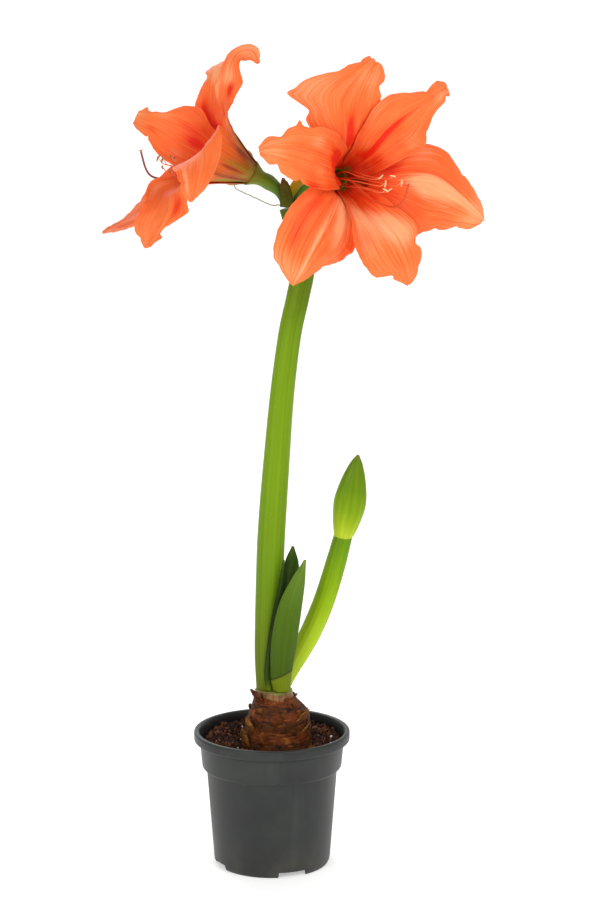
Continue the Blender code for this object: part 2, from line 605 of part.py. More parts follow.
def bloom_grids(bloom):
    """The six tepals of a bloom, moved apart where the two whorls overlap."""
    names = list(bloom["tepals"])
    grids = {n: tepal_grid(bloom, n, TEPAL_ROWS + 1, TEPAL_COLS + 1) for n in names}
    whorl = {n: bloom["tepals"][n][1] for n in names}
    for _ in range(SPREAD_STEPS):
        trees = {n: blade_tree(grids[n]) for n in names}
        for n in names:
            others = [trees[m] for m in names if whorl[m] != whorl[n]]
            grids[n][1:] += 0.5 * push_off(grids[n], others, 1 if whorl[n] else -1)[1:]
    return grids


def build_tube(name, bloom, mat):
    """Pedicel, three-lobed ovary and the hollow tube of a bloom, grown as one piece."""
    table = np.array(bloom["tube"], float)
    origin, right, up, axis = bloom_frame(bloom)
    u = even_steps(table[:, :3], 18)
    row = spline(table, u)
    ovary = 0.09 * np.exp(-((row[:, 3] - 5.6) / 0.8) ** 2)[:, None]
    rings = list(sweep(row[:, :3], row[:, 3], row[:, 3], TUBE_SIDES, right,
                       lambda a: ovary * np.cos(3 * a)[None, :]))
    rings[0][:, 2] = table[0, 2]
    a = np.linspace(0, 2 * np.pi, TUBE_SIDES, endpoint=False)[:, None]
    wheel = np.cos(a) * right + np.sin(a) * up
    rings[-1] = origin + TUBE_MOUTH * wheel
    for radius, depth in ((TUBE_BORE, 0), (TUBE_BORE - 0.4, 3), (BORE_FOOT, BORE_DEPTH)):
        rings.append(origin + radius * wheel - depth * axis)
    verts, faces = tube_solid(np.array(rings))
    return add_object(name, verts, faces, mat, 60)


def filament_rings(base, points, widths, depths):
    """Square rings of a filament: base holds the four corners that it grows from."""
    path = np.asarray(points, float)
    along = unit(np.gradient(path, axis=0))
    across = base[1] - base[0]
    rings = []
    for p, t, w, d in zip(path, along, widths, depths):
        e1 = unit(across - t * (across @ t))
        e2 = np.cross(t, e1)
        rings.append([p - w * e1 - d * e2, p + w * e1 - d * e2, p + w * e1 + d * e2,
                      p - w * e1 + d * e2])
    return rings


def build_stamens(name, bloom, mat):
    """Six curved filaments with crosswise anthers on the ring that they grow from."""
    origin, right, up, axis = bloom_frame(bloom)
    reach, rise, shift = bloom["anthers"]
    verts, faces = [], []
    n = RING_SIDES
    for depth in (BORE_DEPTH - RING_TOP, BORE_DEPTH - RING_FOOT):
        for radius in (RING_IN, RING_OUT):
            for i in range(n):
                a = 2 * np.pi * (i + 0.5) / n
                verts.append(origin - depth * axis
                             + radius * (np.cos(a) * right + np.sin(a) * up))
    for i in range(n):
        k = (i + 1) % n
        faces += [(i, k, n + k, n + i), (n + i, n + k, 3 * n + k, 3 * n + i),
                  (i, 2 * n + i, 2 * n + k, k)]
        if i % 2 == 0:
            faces.append((2 * n + i, 3 * n + i, 3 * n + k, 2 * n + k))
            continue
        corners = [2 * n + i, 3 * n + i, 3 * n + k, 2 * n + k]
        a = 2 * np.pi * (i + 1) / n
        ray = np.cos(a) * right + np.sin(a) * up
        start = np.mean([verts[c] for c in corners], axis=0)
        tip = origin + (reach + 5 * (i % 3 - 1)) * axis + (rise + 5.5 * np.sin(a)) * up
        tip = tip + (shift + 7 * np.cos(a)) * right
        path = spline((start, start + 7 * axis, start + 22 * axis + 2.5 * ray + 0.12 * rise * up,
                       start * 0.42 + tip * 0.58 - 0.5 * up, tip - 8 * axis - 1.5 * up, tip),
                      np.linspace(0, 1, FILAMENT_STEPS + 1)[1:])
        path = np.vstack([path, path[-1] + 0.3 * unit(tip - path[-2]),
                          path[-1] + 2.0 * unit(tip - path[-2])])
        widths = [FILAMENT_HALF] * FILAMENT_STEPS + [ANTHER_WIDE, ANTHER_WIDE - 0.1]
        depths = [FILAMENT_HALF] * FILAMENT_STEPS + [ANTHER_HALF, ANTHER_HALF - 0.4]
        last = corners
        for ring in filament_rings([verts[c] for c in corners], path, widths, depths):
            new = list(range(len(verts), len(verts) + 4))
            verts += ring
            faces += [(last[j], last[(j + 1) % 4], new[(j + 1) % 4], new[j]) for j in range(4)]
            last = new
        faces.append(last)
    return add_object(name, verts, faces, mat, 50)


def build_pistil(name, bloom, mat):
    """The long curved style with its small three-lobed stigma."""
    origin, right, up, axis = bloom_frame(bloom)
    along, above, aside = np.array(bloom["style"], float).T[..., None]
    points = origin + along * axis + above * up + aside * right
    path = spline(points, even_steps(points, STYLE_STEPS))
    radius = np.array([STYLE_RADIUS] * (STYLE_STEPS - 3) + [0.8, 1.5, 1.3])
    lobed = np.array([0] * (STYLE_STEPS - 3) + [0.1, 0.35, 0.35])[:, None]
    rings = sweep(path, radius, radius, 9, right, lambda a: lobed * np.cos(3 * a)[None, :])
    verts, faces = tube_solid(rings)
    return add_object(name, verts, faces, mat, 60)


# The two dry bracts of the opened spathe, on top of the scape: same values as the leaves
VALVES = {
    "spathe_valve_front": dict(
        points=((11.6, -3.8, 507.35), (11.4, -6.8, 514), (10.6, -9, 522), (9.2, -9.8, 529.5)),
        half=(4.4, 5.0, 4.2, 0.9), cup=(34, 40, 40, 30), twist=(0, 0)),
    "spathe_valve_back": dict(
        points=((15.4, 7.4, 507.35), (16.4, 9.9, 514), (19.5, 12, 523), (23.5, 12.6, 532)),
        half=(4.2, 5.4, 4.4, 0.9), cup=(-34, -40, -40, -30), twist=(0, 0)),
}
BRACTEOLE = ((8.6, 6, 507.9), (5, 6.4, 508.2), (-0.2, 7, 508.2), (-12, 7.4, 513.6),
             (-25, 7.6, 519.6), (-27.2, 7.6, 523.5))


def build_valve(name, mat):
    """One bract of the opened spathe, a thin channelled blade on top of the scape."""
    valve = VALVES[name]
    grid = strap(**valve, rows=VALVE_ROWS, cols=STRAP_COLS)
    grid[0, :, 2] = valve["points"][0][2]
    verts, faces = thin_solid(grid, VALVE_THICK)
    return add_object(name, verts, faces, mat, 60)


def build_bracteole(mat):
    """The thread-like bracteole that hangs out below the left bloom."""
    path = spline(BRACTEOLE, even_steps(BRACTEOLE, BRACTEOLE_STEPS))
    radius = np.full(BRACTEOLE_STEPS, BRACTEOLE_RADIUS)
    rings = sweep(path, radius, radius, 6, (0, 1, 0))
    verts, faces = tube_solid(rings)
    return add_object("bracteole", verts, faces, mat, 60)


def build_tepal(bloom_name, name, grid, mat):
    """One tepal as a thin waved blade."""
    verts, faces = thin_solid(grid, TEPAL_THICK)
    return add_object(f"{bloom_name}_tepal_{name}", verts, faces, mat, 70)


def clear_scene():
    """Remove what a new Blender file starts with."""
    for obj in list(bpy.data.objects):
        bpy.data.objects.remove(obj, do_unlink=True)


def main():
    clear_scene()
    build_pot()
    build_bulb()
    build_soil()
    stem = material("scape_green", "#6F9A28", 0.5)
    build_scape("scape_main", MAIN_SCAPE, MAIN_WIDE, 0.82, 24, stem)
    build_scape("scape_second", SECOND_SCAPE, SECOND_WIDE, 0.9, 12,
                material("young_scape", "#9CBB3A", 0.5))
    build_bud(material("bud_spathe", "#7FA832", 0.5))
    leaf = material("leaf_green", "#4A7A26", 0.45)
    for name in LEAVES:
        build_leaf(name, leaf)
    petal = material("tepal_orange", "#FF7A45", 0.55)
    tube = material("tube_green", "#7F8A2C", 0.5)
    thread = material("stamen_cream", "#F0D9A8", 0.6)
    style = material("style_pink", "#E8A07C", 0.5)
    for side, bloom in (("left", LEFT_BLOOM), ("right", RIGHT_BLOOM)):
        for name, grid in bloom_grids(bloom).items():
            build_tepal(side, name, grid, petal)
        build_tube(f"{side}_tube", bloom, tube)
        build_stamens(f"{side}_stamens", bloom, thread)
        build_pistil(f"{side}_pistil", bloom, style)
    bract = material("dry_bract", "#4A4E14", 0.7)
    for name in VALVES:
        build_valve(name, bract)
    build_bracteole(material("bracteole_white", "#D8D8C8", 0.7))


main()
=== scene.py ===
# %% [markdown]
# # A potted amaryllis
# The real thing is a forced bulb in a nursery pot. One tall stem, called a scape, carries two
# open blooms, and a young scape ends in a closed bud. A flower has no true petals: its six
# blades are called tepals, three in an outer whorl and three in an inner one.
#
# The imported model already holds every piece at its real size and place. It could be shown as it
# is with better materials, but its blades have few facets. So each cell below builds a finer
# version of one piece on the same guide curves, and that version then stands for the solid.

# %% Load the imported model
import math

import bmesh
import bpy
import numpy as np
from mathutils import Matrix, Vector, noise
from mathutils.bvhtree import BVHTree


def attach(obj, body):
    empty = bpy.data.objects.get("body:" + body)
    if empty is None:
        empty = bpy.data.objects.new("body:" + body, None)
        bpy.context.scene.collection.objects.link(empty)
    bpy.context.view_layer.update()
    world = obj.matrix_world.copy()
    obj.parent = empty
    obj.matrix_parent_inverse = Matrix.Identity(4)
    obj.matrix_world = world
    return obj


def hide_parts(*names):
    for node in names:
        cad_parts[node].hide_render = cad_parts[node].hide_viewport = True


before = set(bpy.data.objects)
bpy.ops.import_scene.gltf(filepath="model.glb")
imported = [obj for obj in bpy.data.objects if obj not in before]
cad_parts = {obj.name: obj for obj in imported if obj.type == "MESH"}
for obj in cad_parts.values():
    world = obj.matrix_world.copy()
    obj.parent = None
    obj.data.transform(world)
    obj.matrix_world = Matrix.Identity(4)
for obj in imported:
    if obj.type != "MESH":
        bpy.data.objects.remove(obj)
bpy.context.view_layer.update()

MM = 0.001

# %% [markdown]
# ## Camera
# The view was found from the pot: its lip and its foot are circles, and the way they flatten in
# the picture gives the camera's height and tilt. A long lens keeps the pot's sides nearly
# parallel, as in a catalogue picture.

# %% Camera
def placed(name, data):
    """A new object in the scene with this mesh, light or camera."""
    obj = bpy.data.objects.new(name, data)
    bpy.context.collection.objects.link(obj)
    return obj


DISTANCE, HEIGHT, ASIDE = 1.9, 0.670656, 0.021676
TILT, LENS, SENSOR = 10.335, 102.35, 36
camera = placed("camera", bpy.data.cameras.new("camera"))
camera.location = (ASIDE, -DISTANCE, HEIGHT)
camera.rotation_euler = (math.radians(90 - TILT), 0, 0)
camera.data.lens, camera.data.sensor_width = LENS, SENSOR
bpy.context.scene.camera = camera
bpy.context.scene.view_settings.view_transform = "Standard"
print("camera height in mm:", round(camera.location.z / MM))

# %% [markdown]
# ## Colours, nodes and finishes
# A colour picked from the real surface is an sRGB value, and shaders work in linear light, so
# one function turns a hex colour to linear. A second small helper adds a node with its settings
# and its links. A living or worn surface is then painted as one would by hand: a base colour,
# then thin layers over it, each strong where some pattern or measure says so.

# %% Colour and node helpers
def linear(colour):
    """Linear RGBA of an sRGB hex colour; any other value is given back as it is."""
    if not (isinstance(colour, str) and colour.startswith("#")):
        return colour
    parts = [int(colour[i:i + 2], 16) / 255 for i in (1, 3, 5)]
    return (*[c / 12.92 if c <= 0.04045 else ((c + 0.055) / 1.055) ** 2.4 for c in parts], 1)


def put(tree, kind, settings=None, wires=None):
    """Add a node; a kind without Node in it is one for shaders.

    Wires go from an input's name or number to a value, a colour or another node's output.
    """
    made = tree.nodes.new(kind if "Node" in kind else "ShaderNode" + kind)
    for key, value in (settings or {}).items():
        if key == "stops":
            ramp = made.color_ramp.elements
            ramp[0].position, ramp[1].position = value[0][0], value[-1][0]
            for spot, _ in value[1:-1]:
                ramp.new(spot)
            for stop, (_, colour) in zip(ramp, value):
                stop.color = linear(colour)
        else:
            setattr(made, key, value)
    for key, value in (wires or {}).items():
        if isinstance(value, bpy.types.NodeSocket):
            tree.links.new(value, made.inputs[key])
        else:
            made.inputs[key].default_value = linear(value)
    return made


print("white is", linear("#FFFFFF")[0], "in linear light")

# %% Materials painted in layers
def finish(name, sockets):
    """A material whose shader has these constant values, and its node tree."""
    mat = bpy.data.materials.new(name)
    mat.use_nodes = True
    for key, value in sockets.items():
        mat.node_tree.nodes["Principled BSDF"].inputs[key].default_value = linear(value)
    return mat, mat.node_tree


def read(tree, what):
    """What patterns follow, with its three parts: the "place" on the object or its "blade" map."""
    if what == "place":
        source = put(tree, "TexCoord").outputs["Object"]
    else:
        source = put(tree, "UVMap", {"uv_map": what}).outputs[0]
    return source, *put(tree, "SeparateXYZ", None, {0: source}).outputs


def amount(tree, *fields):
    """Product of fields. A field is an output, a number, or a value eased between two limits."""
    total = None
    for field in fields:
        if isinstance(field, tuple):
            field = put(tree, "MapRange", {"interpolation_type": "SMOOTHSTEP"},
                        dict(enumerate((*field, 0.0, 1.0)[:5]))).outputs[0]
        total = field if total is None else put(
            tree, "Math", {"operation": "MULTIPLY", "use_clamp": True},
            {0: total, 1: field}).outputs[0]
    return total


def uneven(tree, value, pattern, low, high, by):
    """The value, moved up and down by a pattern that is eased between two limits."""
    return put(tree, "Math", {"operation": "ADD"},
               {0: value, 1: amount(tree, (pattern, low, high, -by, by))}).outputs[0]


def paint(tree, base, *layers):
    """Lay colours over a base, each as strong as its fields; a last word is the way to mix.

    The base is an output, or a value with the colours that it runs through.
    """
    if isinstance(base, tuple):
        base = put(tree, "ValToRGB", {"stops": base[1:]}, {0: base[0]}).outputs[0]
    for colour, *fields in layers:
        how = fields.pop() if isinstance(fields[-1], str) else "MIX"
        base = put(tree, "Mix", {"data_type": "RGBA", "blend_type": how},
                   {0: amount(tree, *fields), 6: base, 7: colour}).outputs[2]
    return base


def grain(tree, place, scale, detail=3.0, stretch=(1, 1, 1), rough=0.55, twist=0.0):
    """Noise at a scale per metre of the place it reads, stretched along each axis."""
    spot = put(tree, "Mapping", None, {0: place, 3: stretch}).outputs[0]
    return put(tree, "TexNoise", None, {"Vector": spot, "Scale": scale, "Detail": detail,
               "Roughness": rough, "Distortion": twist}).outputs["Fac"]


def dress(tree, colour, rough, *bumps):
    """Wire in the colour, the roughness and height maps, each with its depth in millimetres."""
    shader, normal = tree.nodes["Principled BSDF"], None
    tree.links.new(colour, shader.inputs["Base Color"])
    if rough:
        tree.links.new(amount(tree, rough), shader.inputs["Roughness"])
    for height, depth in bumps:
        bump = put(tree, "Bump", None,
                   {"Height": height, "Distance": depth * MM, "Strength": 1.0})
        if normal:
            tree.links.new(normal, bump.inputs["Normal"])
        normal = bump.outputs[0]
    tree.links.new(normal, shader.inputs["Normal"])


print("painting helpers:", [f.__name__ for f in (read, amount, uneven, paint, grain, dress)])

# %% [markdown]
# ## Guide curves and thin blades
# Every organic piece here follows a few guide points. A Catmull-Rom curve passes through all of
# them, so a station measured on the real plant stays where it was measured. A blade is a grid of
# points on such curves with a thickness, a stem is a stack of rings.

# %% Curve helpers
def unit(v):
    """The vector, or each row of vectors, at length one."""
    v = np.asarray(v, float)
    return v / np.linalg.norm(v, axis=-1, keepdims=True)


def normals(grid):
    """Normal of a grid of points at each of its points."""
    return unit(np.cross(np.gradient(grid, axis=0), np.gradient(grid, axis=1)))


def beside(along, side):
    """The side's direction, made square to each row of along."""
    side = np.asarray(side, float)
    return unit(side - along * (along @ side)[:, None])


def circle(count):
    """Angles of this many points on a ring."""
    return np.linspace(0, 2 * np.pi, count, endpoint=False)


def spline(points, u):
    """Catmull-Rom curve through the points, read at u from 0 to 1."""
    p = np.asarray(points, float)
    if p.ndim == 1:
        p = p[:, None]
    p = np.concatenate([2 * p[:1] - p[1:2], p, 2 * p[-1:] - p[-2:-1]])
    s = np.clip(np.asarray(u, float), 0, 1) * (len(p) - 3)
    i = np.minimum(s.astype(int), len(p) - 4)
    f = (s - i).reshape(-1, *[1] * (p.ndim - 1))
    a, b, c, d = p[i], p[i + 1], p[i + 2], p[i + 3]
    curve = 2 * b + (c - a) * f + (2 * a - 5 * b + 4 * c - d) * f**2
    return 0.5 * (curve + (3 * b - 3 * c + d - a) * f**3)


def even_steps(points, count):
    """Values of u that space count points of the spline evenly along its length."""
    u = np.linspace(0, 1, 240)
    path = spline(points, u)
    length = np.concatenate([[0], np.cumsum(np.linalg.norm(np.diff(path, axis=0), axis=1))])
    return np.interp(np.linspace(0, length[-1], count), length, u)


def turn(v, axis, degrees):
    """Rows of v turned about the matching rows of axis, by degrees for each row."""
    a = np.radians(np.asarray(degrees, float))[..., None]
    dot = np.sum(v * axis, axis=-1, keepdims=True)
    return v * np.cos(a) + np.cross(axis, v) * np.sin(a) + axis * dot * (1 - np.cos(a))


def waver(*place):
    """Smooth noise from -1 to 1 at a place of up to three numbers."""
    return noise.noise(Vector((*place, 0, 0)[:3]))


def wavering(*places):
    """The same for whole arrays of places."""
    rows = np.broadcast_arrays(*places)
    flat = [waver(*p) for p in zip(*[r.ravel() for r in rows])]
    return np.array(flat).reshape(rows[0].shape)


print("a point of a curve:", spline((0, 4, 9), [0.5])[0, 0])

# %% Mesh helpers
def piece(name, shape, mat, nodes=(), facts=None, sharp=None):
    """A closed mesh from (points in millimetres, faces, map), declared as one piece."""
    verts, faces, uv = shape
    mesh = bpy.data.meshes.new(name)
    mesh.from_pydata((np.asarray(verts, float) * MM).tolist(), [], faces)
    layer = mesh.uv_layers.new(name="blade")
    corner = np.empty(len(mesh.loops), np.int32)
    mesh.loops.foreach_get("vertex_index", corner)
    layer.data.foreach_set("uv", np.asarray(uv, np.float32)[corner].ravel())
    for key, values in (facts or {}).items():
        layer = mesh.attributes.new(key, "FLOAT", "POINT")
        layer.data.foreach_set("value", np.asarray(values, np.float32).ravel())
    bm = bmesh.new()
    bm.from_mesh(mesh)
    bmesh.ops.recalc_face_normals(bm, faces=bm.faces)
    if bm.calc_volume(signed=True) < 0:
        bmesh.ops.reverse_faces(bm, faces=bm.faces)
    bm.to_mesh(mesh)
    bm.free()
    mesh.shade_smooth()
    if sharp:
        mesh.set_sharp_from_angle(angle=math.radians(sharp))
    mesh.materials.append(mat)
    declare(placed(name, mesh), nodes)


def declare(obj, nodes=()):
    """Ride the piece on the one body, and hide the imported nodes that it stands for."""
    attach(obj, "root")
    if nodes:
        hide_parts(*nodes)


def tell(*names):
    """Print the size of each piece in millimetres."""
    for name in names:
        points = np.array([v.co for v in bpy.data.objects[name].data.vertices])
        print(name, "in mm:", np.round(np.ptp(points, axis=0) / MM, 1).tolist())


def blade(grid, thick):
    """Points, faces and (across, along) of a closed blade round a grid; both faces alike."""
    rows, cols = grid.shape[:2]
    half = np.broadcast_to(np.asarray(thick, float), (rows, cols))[..., None] / 2
    verts = np.concatenate([(grid + normals(grid) * half).reshape(-1, 3),
                            (grid - normals(grid) * half).reshape(-1, 3)])
    i, j = np.meshgrid(np.arange(rows - 1), np.arange(cols - 1), indexing="ij")
    a = (i * cols + j).ravel()
    quad = np.stack([a, a + 1, a + cols + 1, a + cols], axis=1)
    rim = list(range(cols)) + [i * cols + cols - 1 for i in range(1, rows)]
    rim += [(rows - 1) * cols + j for j in range(cols - 2, -1, -1)]
    rim = np.array(rim + [i * cols for i in range(rows - 2, 0, -1)])
    far, back = np.roll(rim, -1), rows * cols
    faces = np.concatenate([quad, quad[:, ::-1] + back,
                            np.stack([rim, rim + back, far + back, far], axis=1)]).tolist()
    u, v = np.meshgrid(np.linspace(0, 1, rows), np.linspace(0, 1, cols), indexing="ij")
    return verts, faces, np.tile(np.stack([v.ravel(), u.ravel()], axis=1), (2, 1))


def ring_faces(rows, sides, loop=False):
    """Quads between rows of points that are rings; loop joins the last row to the first."""
    i, j = np.meshgrid(np.arange(rows - 1 + loop), np.arange(sides), indexing="ij")
    k, n = (j + 1) % sides, (i + 1) % rows
    quads = np.stack([i * sides + j, i * sides + k, n * sides + k, n * sides + j], axis=-1)
    return quads.reshape(-1, 4).tolist()


def ring_map(levels, sides):
    """Map of rows of rings: share of the way round, and the row's own level."""
    level, way = np.meshgrid(levels, np.arange(sides) / sides, indexing="ij")
    return np.stack([way.ravel(), level.ravel()], axis=1)


def stalk(rings):
    """Points, faces and (round, along) of a stack of rings, closed at its ends."""
    count, sides = rings.shape[:2]
    faces = ring_faces(count, sides)
    faces += [list(range(sides)), [(count - 1) * sides + k for k in range(sides)]]
    return rings.reshape(-1, 3), faces, ring_map(np.linspace(0, 1, count), sides)


def sweep(path, wide, deep, sides, side=(1, 0, 0), lobes=0):
    """Rings of an oval section along a path: wide lies along side, deep across it."""
    along = unit(np.gradient(path, axis=0))
    right = beside(along, side)
    a = circle(sides)
    wave = 1 + lobes + np.zeros((len(path), sides))
    x = np.cos(a) * wave * np.asarray(wide, float)[:, None]
    y = np.sin(a) * wave * np.asarray(deep, float)[:, None]
    ahead = np.cross(along, right)
    return path[:, None] + x[..., None] * right[:, None] + y[..., None] * ahead[:, None]


print("quads of a hoop of 4 rings with 48 sides:", len(ring_faces(4, 48, True)))

# %% [markdown]
# ## Floor and light
# A catalogue picture is taken on a white sweep: a sheet of acrylic that lies flat under the pot
# and bends up behind it, so that there is no horizon. It is lit from beneath, which keeps it
# evenly white, and only a soft shadow stays round the foot. A key lamp from the right, a softer
# fill from the left and a lamp behind the blooms shape the plant. A bright world alone would be
# simpler, but then every surface mirrors white and the dark pot and the reds wash out.

# %% Sweep and lights
def panel(name, place, aim, size, watts):
    """A square soft light that faces a point."""
    lamp = bpy.data.lights.new(name, "AREA")
    lamp.size, lamp.energy = size, watts
    obj = placed(name, lamp)
    obj.location = place
    obj.rotation_euler = (Vector(aim) - Vector(place)).to_track_quat("-Z", "Y").to_euler()


def pale_floor():
    """A sheet that lies under the pot, bends up behind it and is faintly lit from beneath."""
    bend = [(1.6 + 1.2 * math.sin(t), 1.2 - 1.2 * math.cos(t)) for t in np.linspace(0, 1.5, 16)]
    line = [(-3.0, 0), (0, 0)] + bend + [(2.95, 4.5)]
    mesh = bpy.data.meshes.new("floor")
    mesh.from_pydata([(x, y, z) for y, z in line for x in (-4, 4)], [],
                     [(2 * i, 2 * i + 1, 2 * i + 3, 2 * i + 2) for i in range(len(line) - 1)])
    mesh.shade_smooth()
    mesh.materials.append(finish("lit_acrylic_sheet", {
        "Base Color": "#F2F2F0", "Roughness": 0.8, "Emission Color": "#FFFFFF",
        "Emission Strength": 0.42})[0])
    placed("floor", mesh)


pale_floor()
panel("key", (1.3, -1.5, 1.6), (0, 0, 0.35), 1.0, 21)
panel("fill", (-1.1, -1.6, 0.9), (0, 0, 0.35), 1.2, 14)
panel("rim", (-0.5, 1.3, 1.5), (0, 0, 0.45), 0.8, 9)
world = bpy.data.worlds.new("studio")
world.use_nodes = True
sky = world.node_tree.nodes["Background"].inputs
sky["Color"].default_value, sky["Strength"].default_value = linear("#FFFFFF"), 0.42
bpy.context.scene.world = world

# %% [markdown]
# ## The nursery pot
# A grower's pot is injection-moulded from recycled polypropylene. It tapers so that it leaves
# the mould and stacks, a collar stiffens its top, the lip is rolled, and notches in the foot
# let water out. It is a turned shape, so a profile is spun round the axis. The profile's
# corners are rounded first, because a moulded edge is never sharp and its soft highlight is
# what says plastic. The notches and the drain holes are then cut with a boolean.

# %% Polypropylene, moulded
def moulded_polypropylene():
    """Dark grey recycled plastic: satin, faintly mottled, with dust low on the wall, and painted
    shade on the inner wall above the soil and just under the lip.
    """
    mat, tree = finish("moulded_polypropylene", {
        "Roughness": 0.42, "IOR": 1.49, "Specular IOR Level": 0.3})
    place, _, _, height = read(tree, "place")
    flat = put(tree, "VectorMath", {"operation": "MULTIPLY"}, {0: place, 1: (1, 1, 0)})
    radius = put(tree, "VectorMath", {"operation": "LENGTH"}, {0: flat.outputs[0]})
    cloud = grain(tree, place, 22, 4)
    flow = grain(tree, place, 60, 3, (1, 1, 0.08))
    fleck = grain(tree, place, 900, 2)
    skin = paint(
        tree, (cloud, (0.3, "#222423"), (0.5, "#292B2A"), (0.72, "#333634")),
        ("#444746", (flow, 0.55, 0.8, 0, 0.25)),
        ("#545755", (fleck, 0.66, 0.76, 0, 0.3)),
        ("#524C42", (height, 0.03, 0.0), (cloud, 0.4, 0.7, 0.05, 0.4)),
        # Painted shade: near black on the inner wall above the soil and in the band just under the
        # lip.
        ("#141212", (radius.outputs["Value"], 0.0560, 0.0553), (height, 0.094, 0.0975)))
    dress(tree, skin, (cloud, 0.2, 0.8, 0.36, 0.52), (fleck, 0.03), (flow, 0.05))
    return mat


plastic = moulded_polypropylene()
print("nodes that colour the pot:", len(plastic.node_tree.nodes))

# %% Sizes of the pot
POT_HEIGHT, LIP_RADIUS, WALL, FLOOR_Z = 105.0, 60.0, 1.3, 4.6
COLLAR_TOP, COLLAR_FOOT, COLLAR_RADIUS = 97.0, 77.0, 55.6
BODY_TOP_RADIUS, FOOT_RADIUS, FOOT_RING, PAD_RADIUS = 50.3, 44.9, 3.6, 9.0
NOTCHES_OF_FOOT, NOTCH_TURN, NOTCH_WIDTH, NOTCH_DEPTH = 4, -68.0, 23.0, 9.0
DRAIN_HOLES, DRAIN_RADIUS, DRAIN_CIRCLE, DRAIN_DEPTH = 8, 3.0, 28.0, 8.0
POT_SIDES, EDGE_ROUNDING = 160, 1.5


def pot_inner_radius(z):
    """Inner wall radius at a height."""
    heights = (FLOOR_Z + WALL, COLLAR_FOOT - 2, COLLAR_FOOT + 1, COLLAR_TOP)
    outer = (FOOT_RADIUS, BODY_TOP_RADIUS, COLLAR_RADIUS - 1.8, COLLAR_RADIUS)
    return float(np.interp(z, heights, outer)) - WALL


print("inner radius at the collar's top:", round(pot_inner_radius(COLLAR_TOP), 1), "mm")

# %% Turned pot with its notches and drain holes
def rounded(profile, radius, steps=4):
    """The profile with each corner replaced by a short curve."""
    soft = [profile[0]]
    for before, corner, after in zip(profile, profile[1:], profile[2:]):
        p, q, r = (np.array(x, float) for x in (before, corner, after))
        reach = min(radius, 0.45 * np.linalg.norm(q - p), 0.45 * np.linalg.norm(r - q))
        start, end = q + unit(p - q) * reach, q + unit(r - q) * reach
        for t in np.linspace(0, 1, steps):
            soft.append((1 - t) ** 2 * start + 2 * t * (1 - t) * q + t**2 * end)
    return soft + [profile[-1]]


def mesh_of(bm, name):
    """A plain mesh from a bmesh, which is then freed."""
    mesh = bpy.data.meshes.new(name)
    bm.to_mesh(mesh)
    bm.free()
    return mesh


def turned(name, profile, sides):
    """A closed solid turned from an outline of (radius, height) that starts on the axis."""
    bm = bmesh.new()
    points = [bm.verts.new((r * MM, 0, z * MM)) for r, z in profile]
    edges = [bm.edges.new(pair) for pair in zip(points, points[1:])]
    bmesh.ops.spin(bm, geom=points + edges, cent=(0, 0, 0), axis=(0, 0, 1), angle=math.tau,
                   steps=sides, use_merge=True, use_duplicate=False)
    bmesh.ops.remove_doubles(bm, verts=bm.verts, dist=1e-6)
    bmesh.ops.recalc_face_normals(bm, faces=bm.faces)
    return placed(name, mesh_of(bm, name))


def applied(obj):
    """Put what the object's modifiers make in place of its mesh, and take them off."""
    bpy.context.view_layer.update()
    made = bpy.data.meshes.new_from_object(
        obj.evaluated_get(bpy.context.evaluated_depsgraph_get()))
    obj.modifiers.clear()
    obj.data = made
    return made


def build_pot():
    """Foot ring, tapered body, collar and rolled lip, with the foot cut for water."""
    foot_in, top = FOOT_RADIUS - FOOT_RING, POT_HEIGHT
    outside = [
        (0, 0), (PAD_RADIUS, 0), (PAD_RADIUS + 1, FLOOR_Z), (foot_in - 0.8, FLOOR_Z),
        (foot_in, 0), (FOOT_RADIUS - 1.4, 0), (FOOT_RADIUS, 3.2),
        (BODY_TOP_RADIUS, COLLAR_FOOT - 2.4), (BODY_TOP_RADIUS + 0.5, COLLAR_FOOT - 1.0),
        (COLLAR_RADIUS - 1.9, COLLAR_FOOT - 0.3), (COLLAR_RADIUS, COLLAR_TOP),
        (LIP_RADIUS, COLLAR_TOP + 0.3), (LIP_RADIUS, top), (LIP_RADIUS - 3.7, top),
    ]
    inside = [(pot_inner_radius(z), z) for z in
              (COLLAR_TOP, COLLAR_FOOT + 1, COLLAR_FOOT - 2, FLOOR_Z + WALL + 2.5)]
    floor = [(pot_inner_radius(FLOOR_Z) - 1.2, FLOOR_Z + WALL), (0, FLOOR_Z + WALL)]
    pot = turned("moulded_pot", rounded(outside + inside + floor, EDGE_ROUNDING), POT_SIDES)
    bm = bmesh.new()
    for i in range(NOTCHES_OF_FOOT):
        box = bmesh.ops.create_cube(bm, size=1)["verts"]
        size = (NOTCH_DEPTH * MM, NOTCH_WIDTH * MM, 2 * FLOOR_Z * MM)
        bmesh.ops.scale(bm, verts=box, vec=size)
        bmesh.ops.translate(bm, verts=box, vec=((FOOT_RADIUS - 1.2) * MM, 0, -0.1 * MM))
        bmesh.ops.rotate(bm, verts=box, cent=(0, 0, 0),
                         matrix=Matrix.Rotation(math.radians(NOTCH_TURN + i * 90), 3, "Z"))
    for i in range(DRAIN_HOLES):
        angle = math.radians((i + 0.5) * 360 / DRAIN_HOLES)
        hole = bmesh.ops.create_cone(
            bm, cap_ends=True, segments=24, radius1=DRAIN_RADIUS * MM,
            radius2=DRAIN_RADIUS * MM, depth=DRAIN_DEPTH * MM)["verts"]
        spot = (DRAIN_CIRCLE * MM * math.cos(angle), DRAIN_CIRCLE * MM * math.sin(angle),
                (FLOOR_Z + WALL / 2) * MM)
        bmesh.ops.translate(bm, verts=hole, vec=spot)
    cutter = placed("pot_cutter", mesh_of(bm, "pot_cutter"))
    cut = pot.modifiers.new("notches", "BOOLEAN")
    cut.operation, cut.object = "DIFFERENCE", cutter
    whole = applied(pot)
    bpy.data.objects.remove(cutter, do_unlink=True)
    whole.shade_smooth()
    whole.set_sharp_from_angle(angle=math.radians(38))
    whole.materials.append(plastic)
    declare(pot, ("pot",))
    return len(whole.polygons)


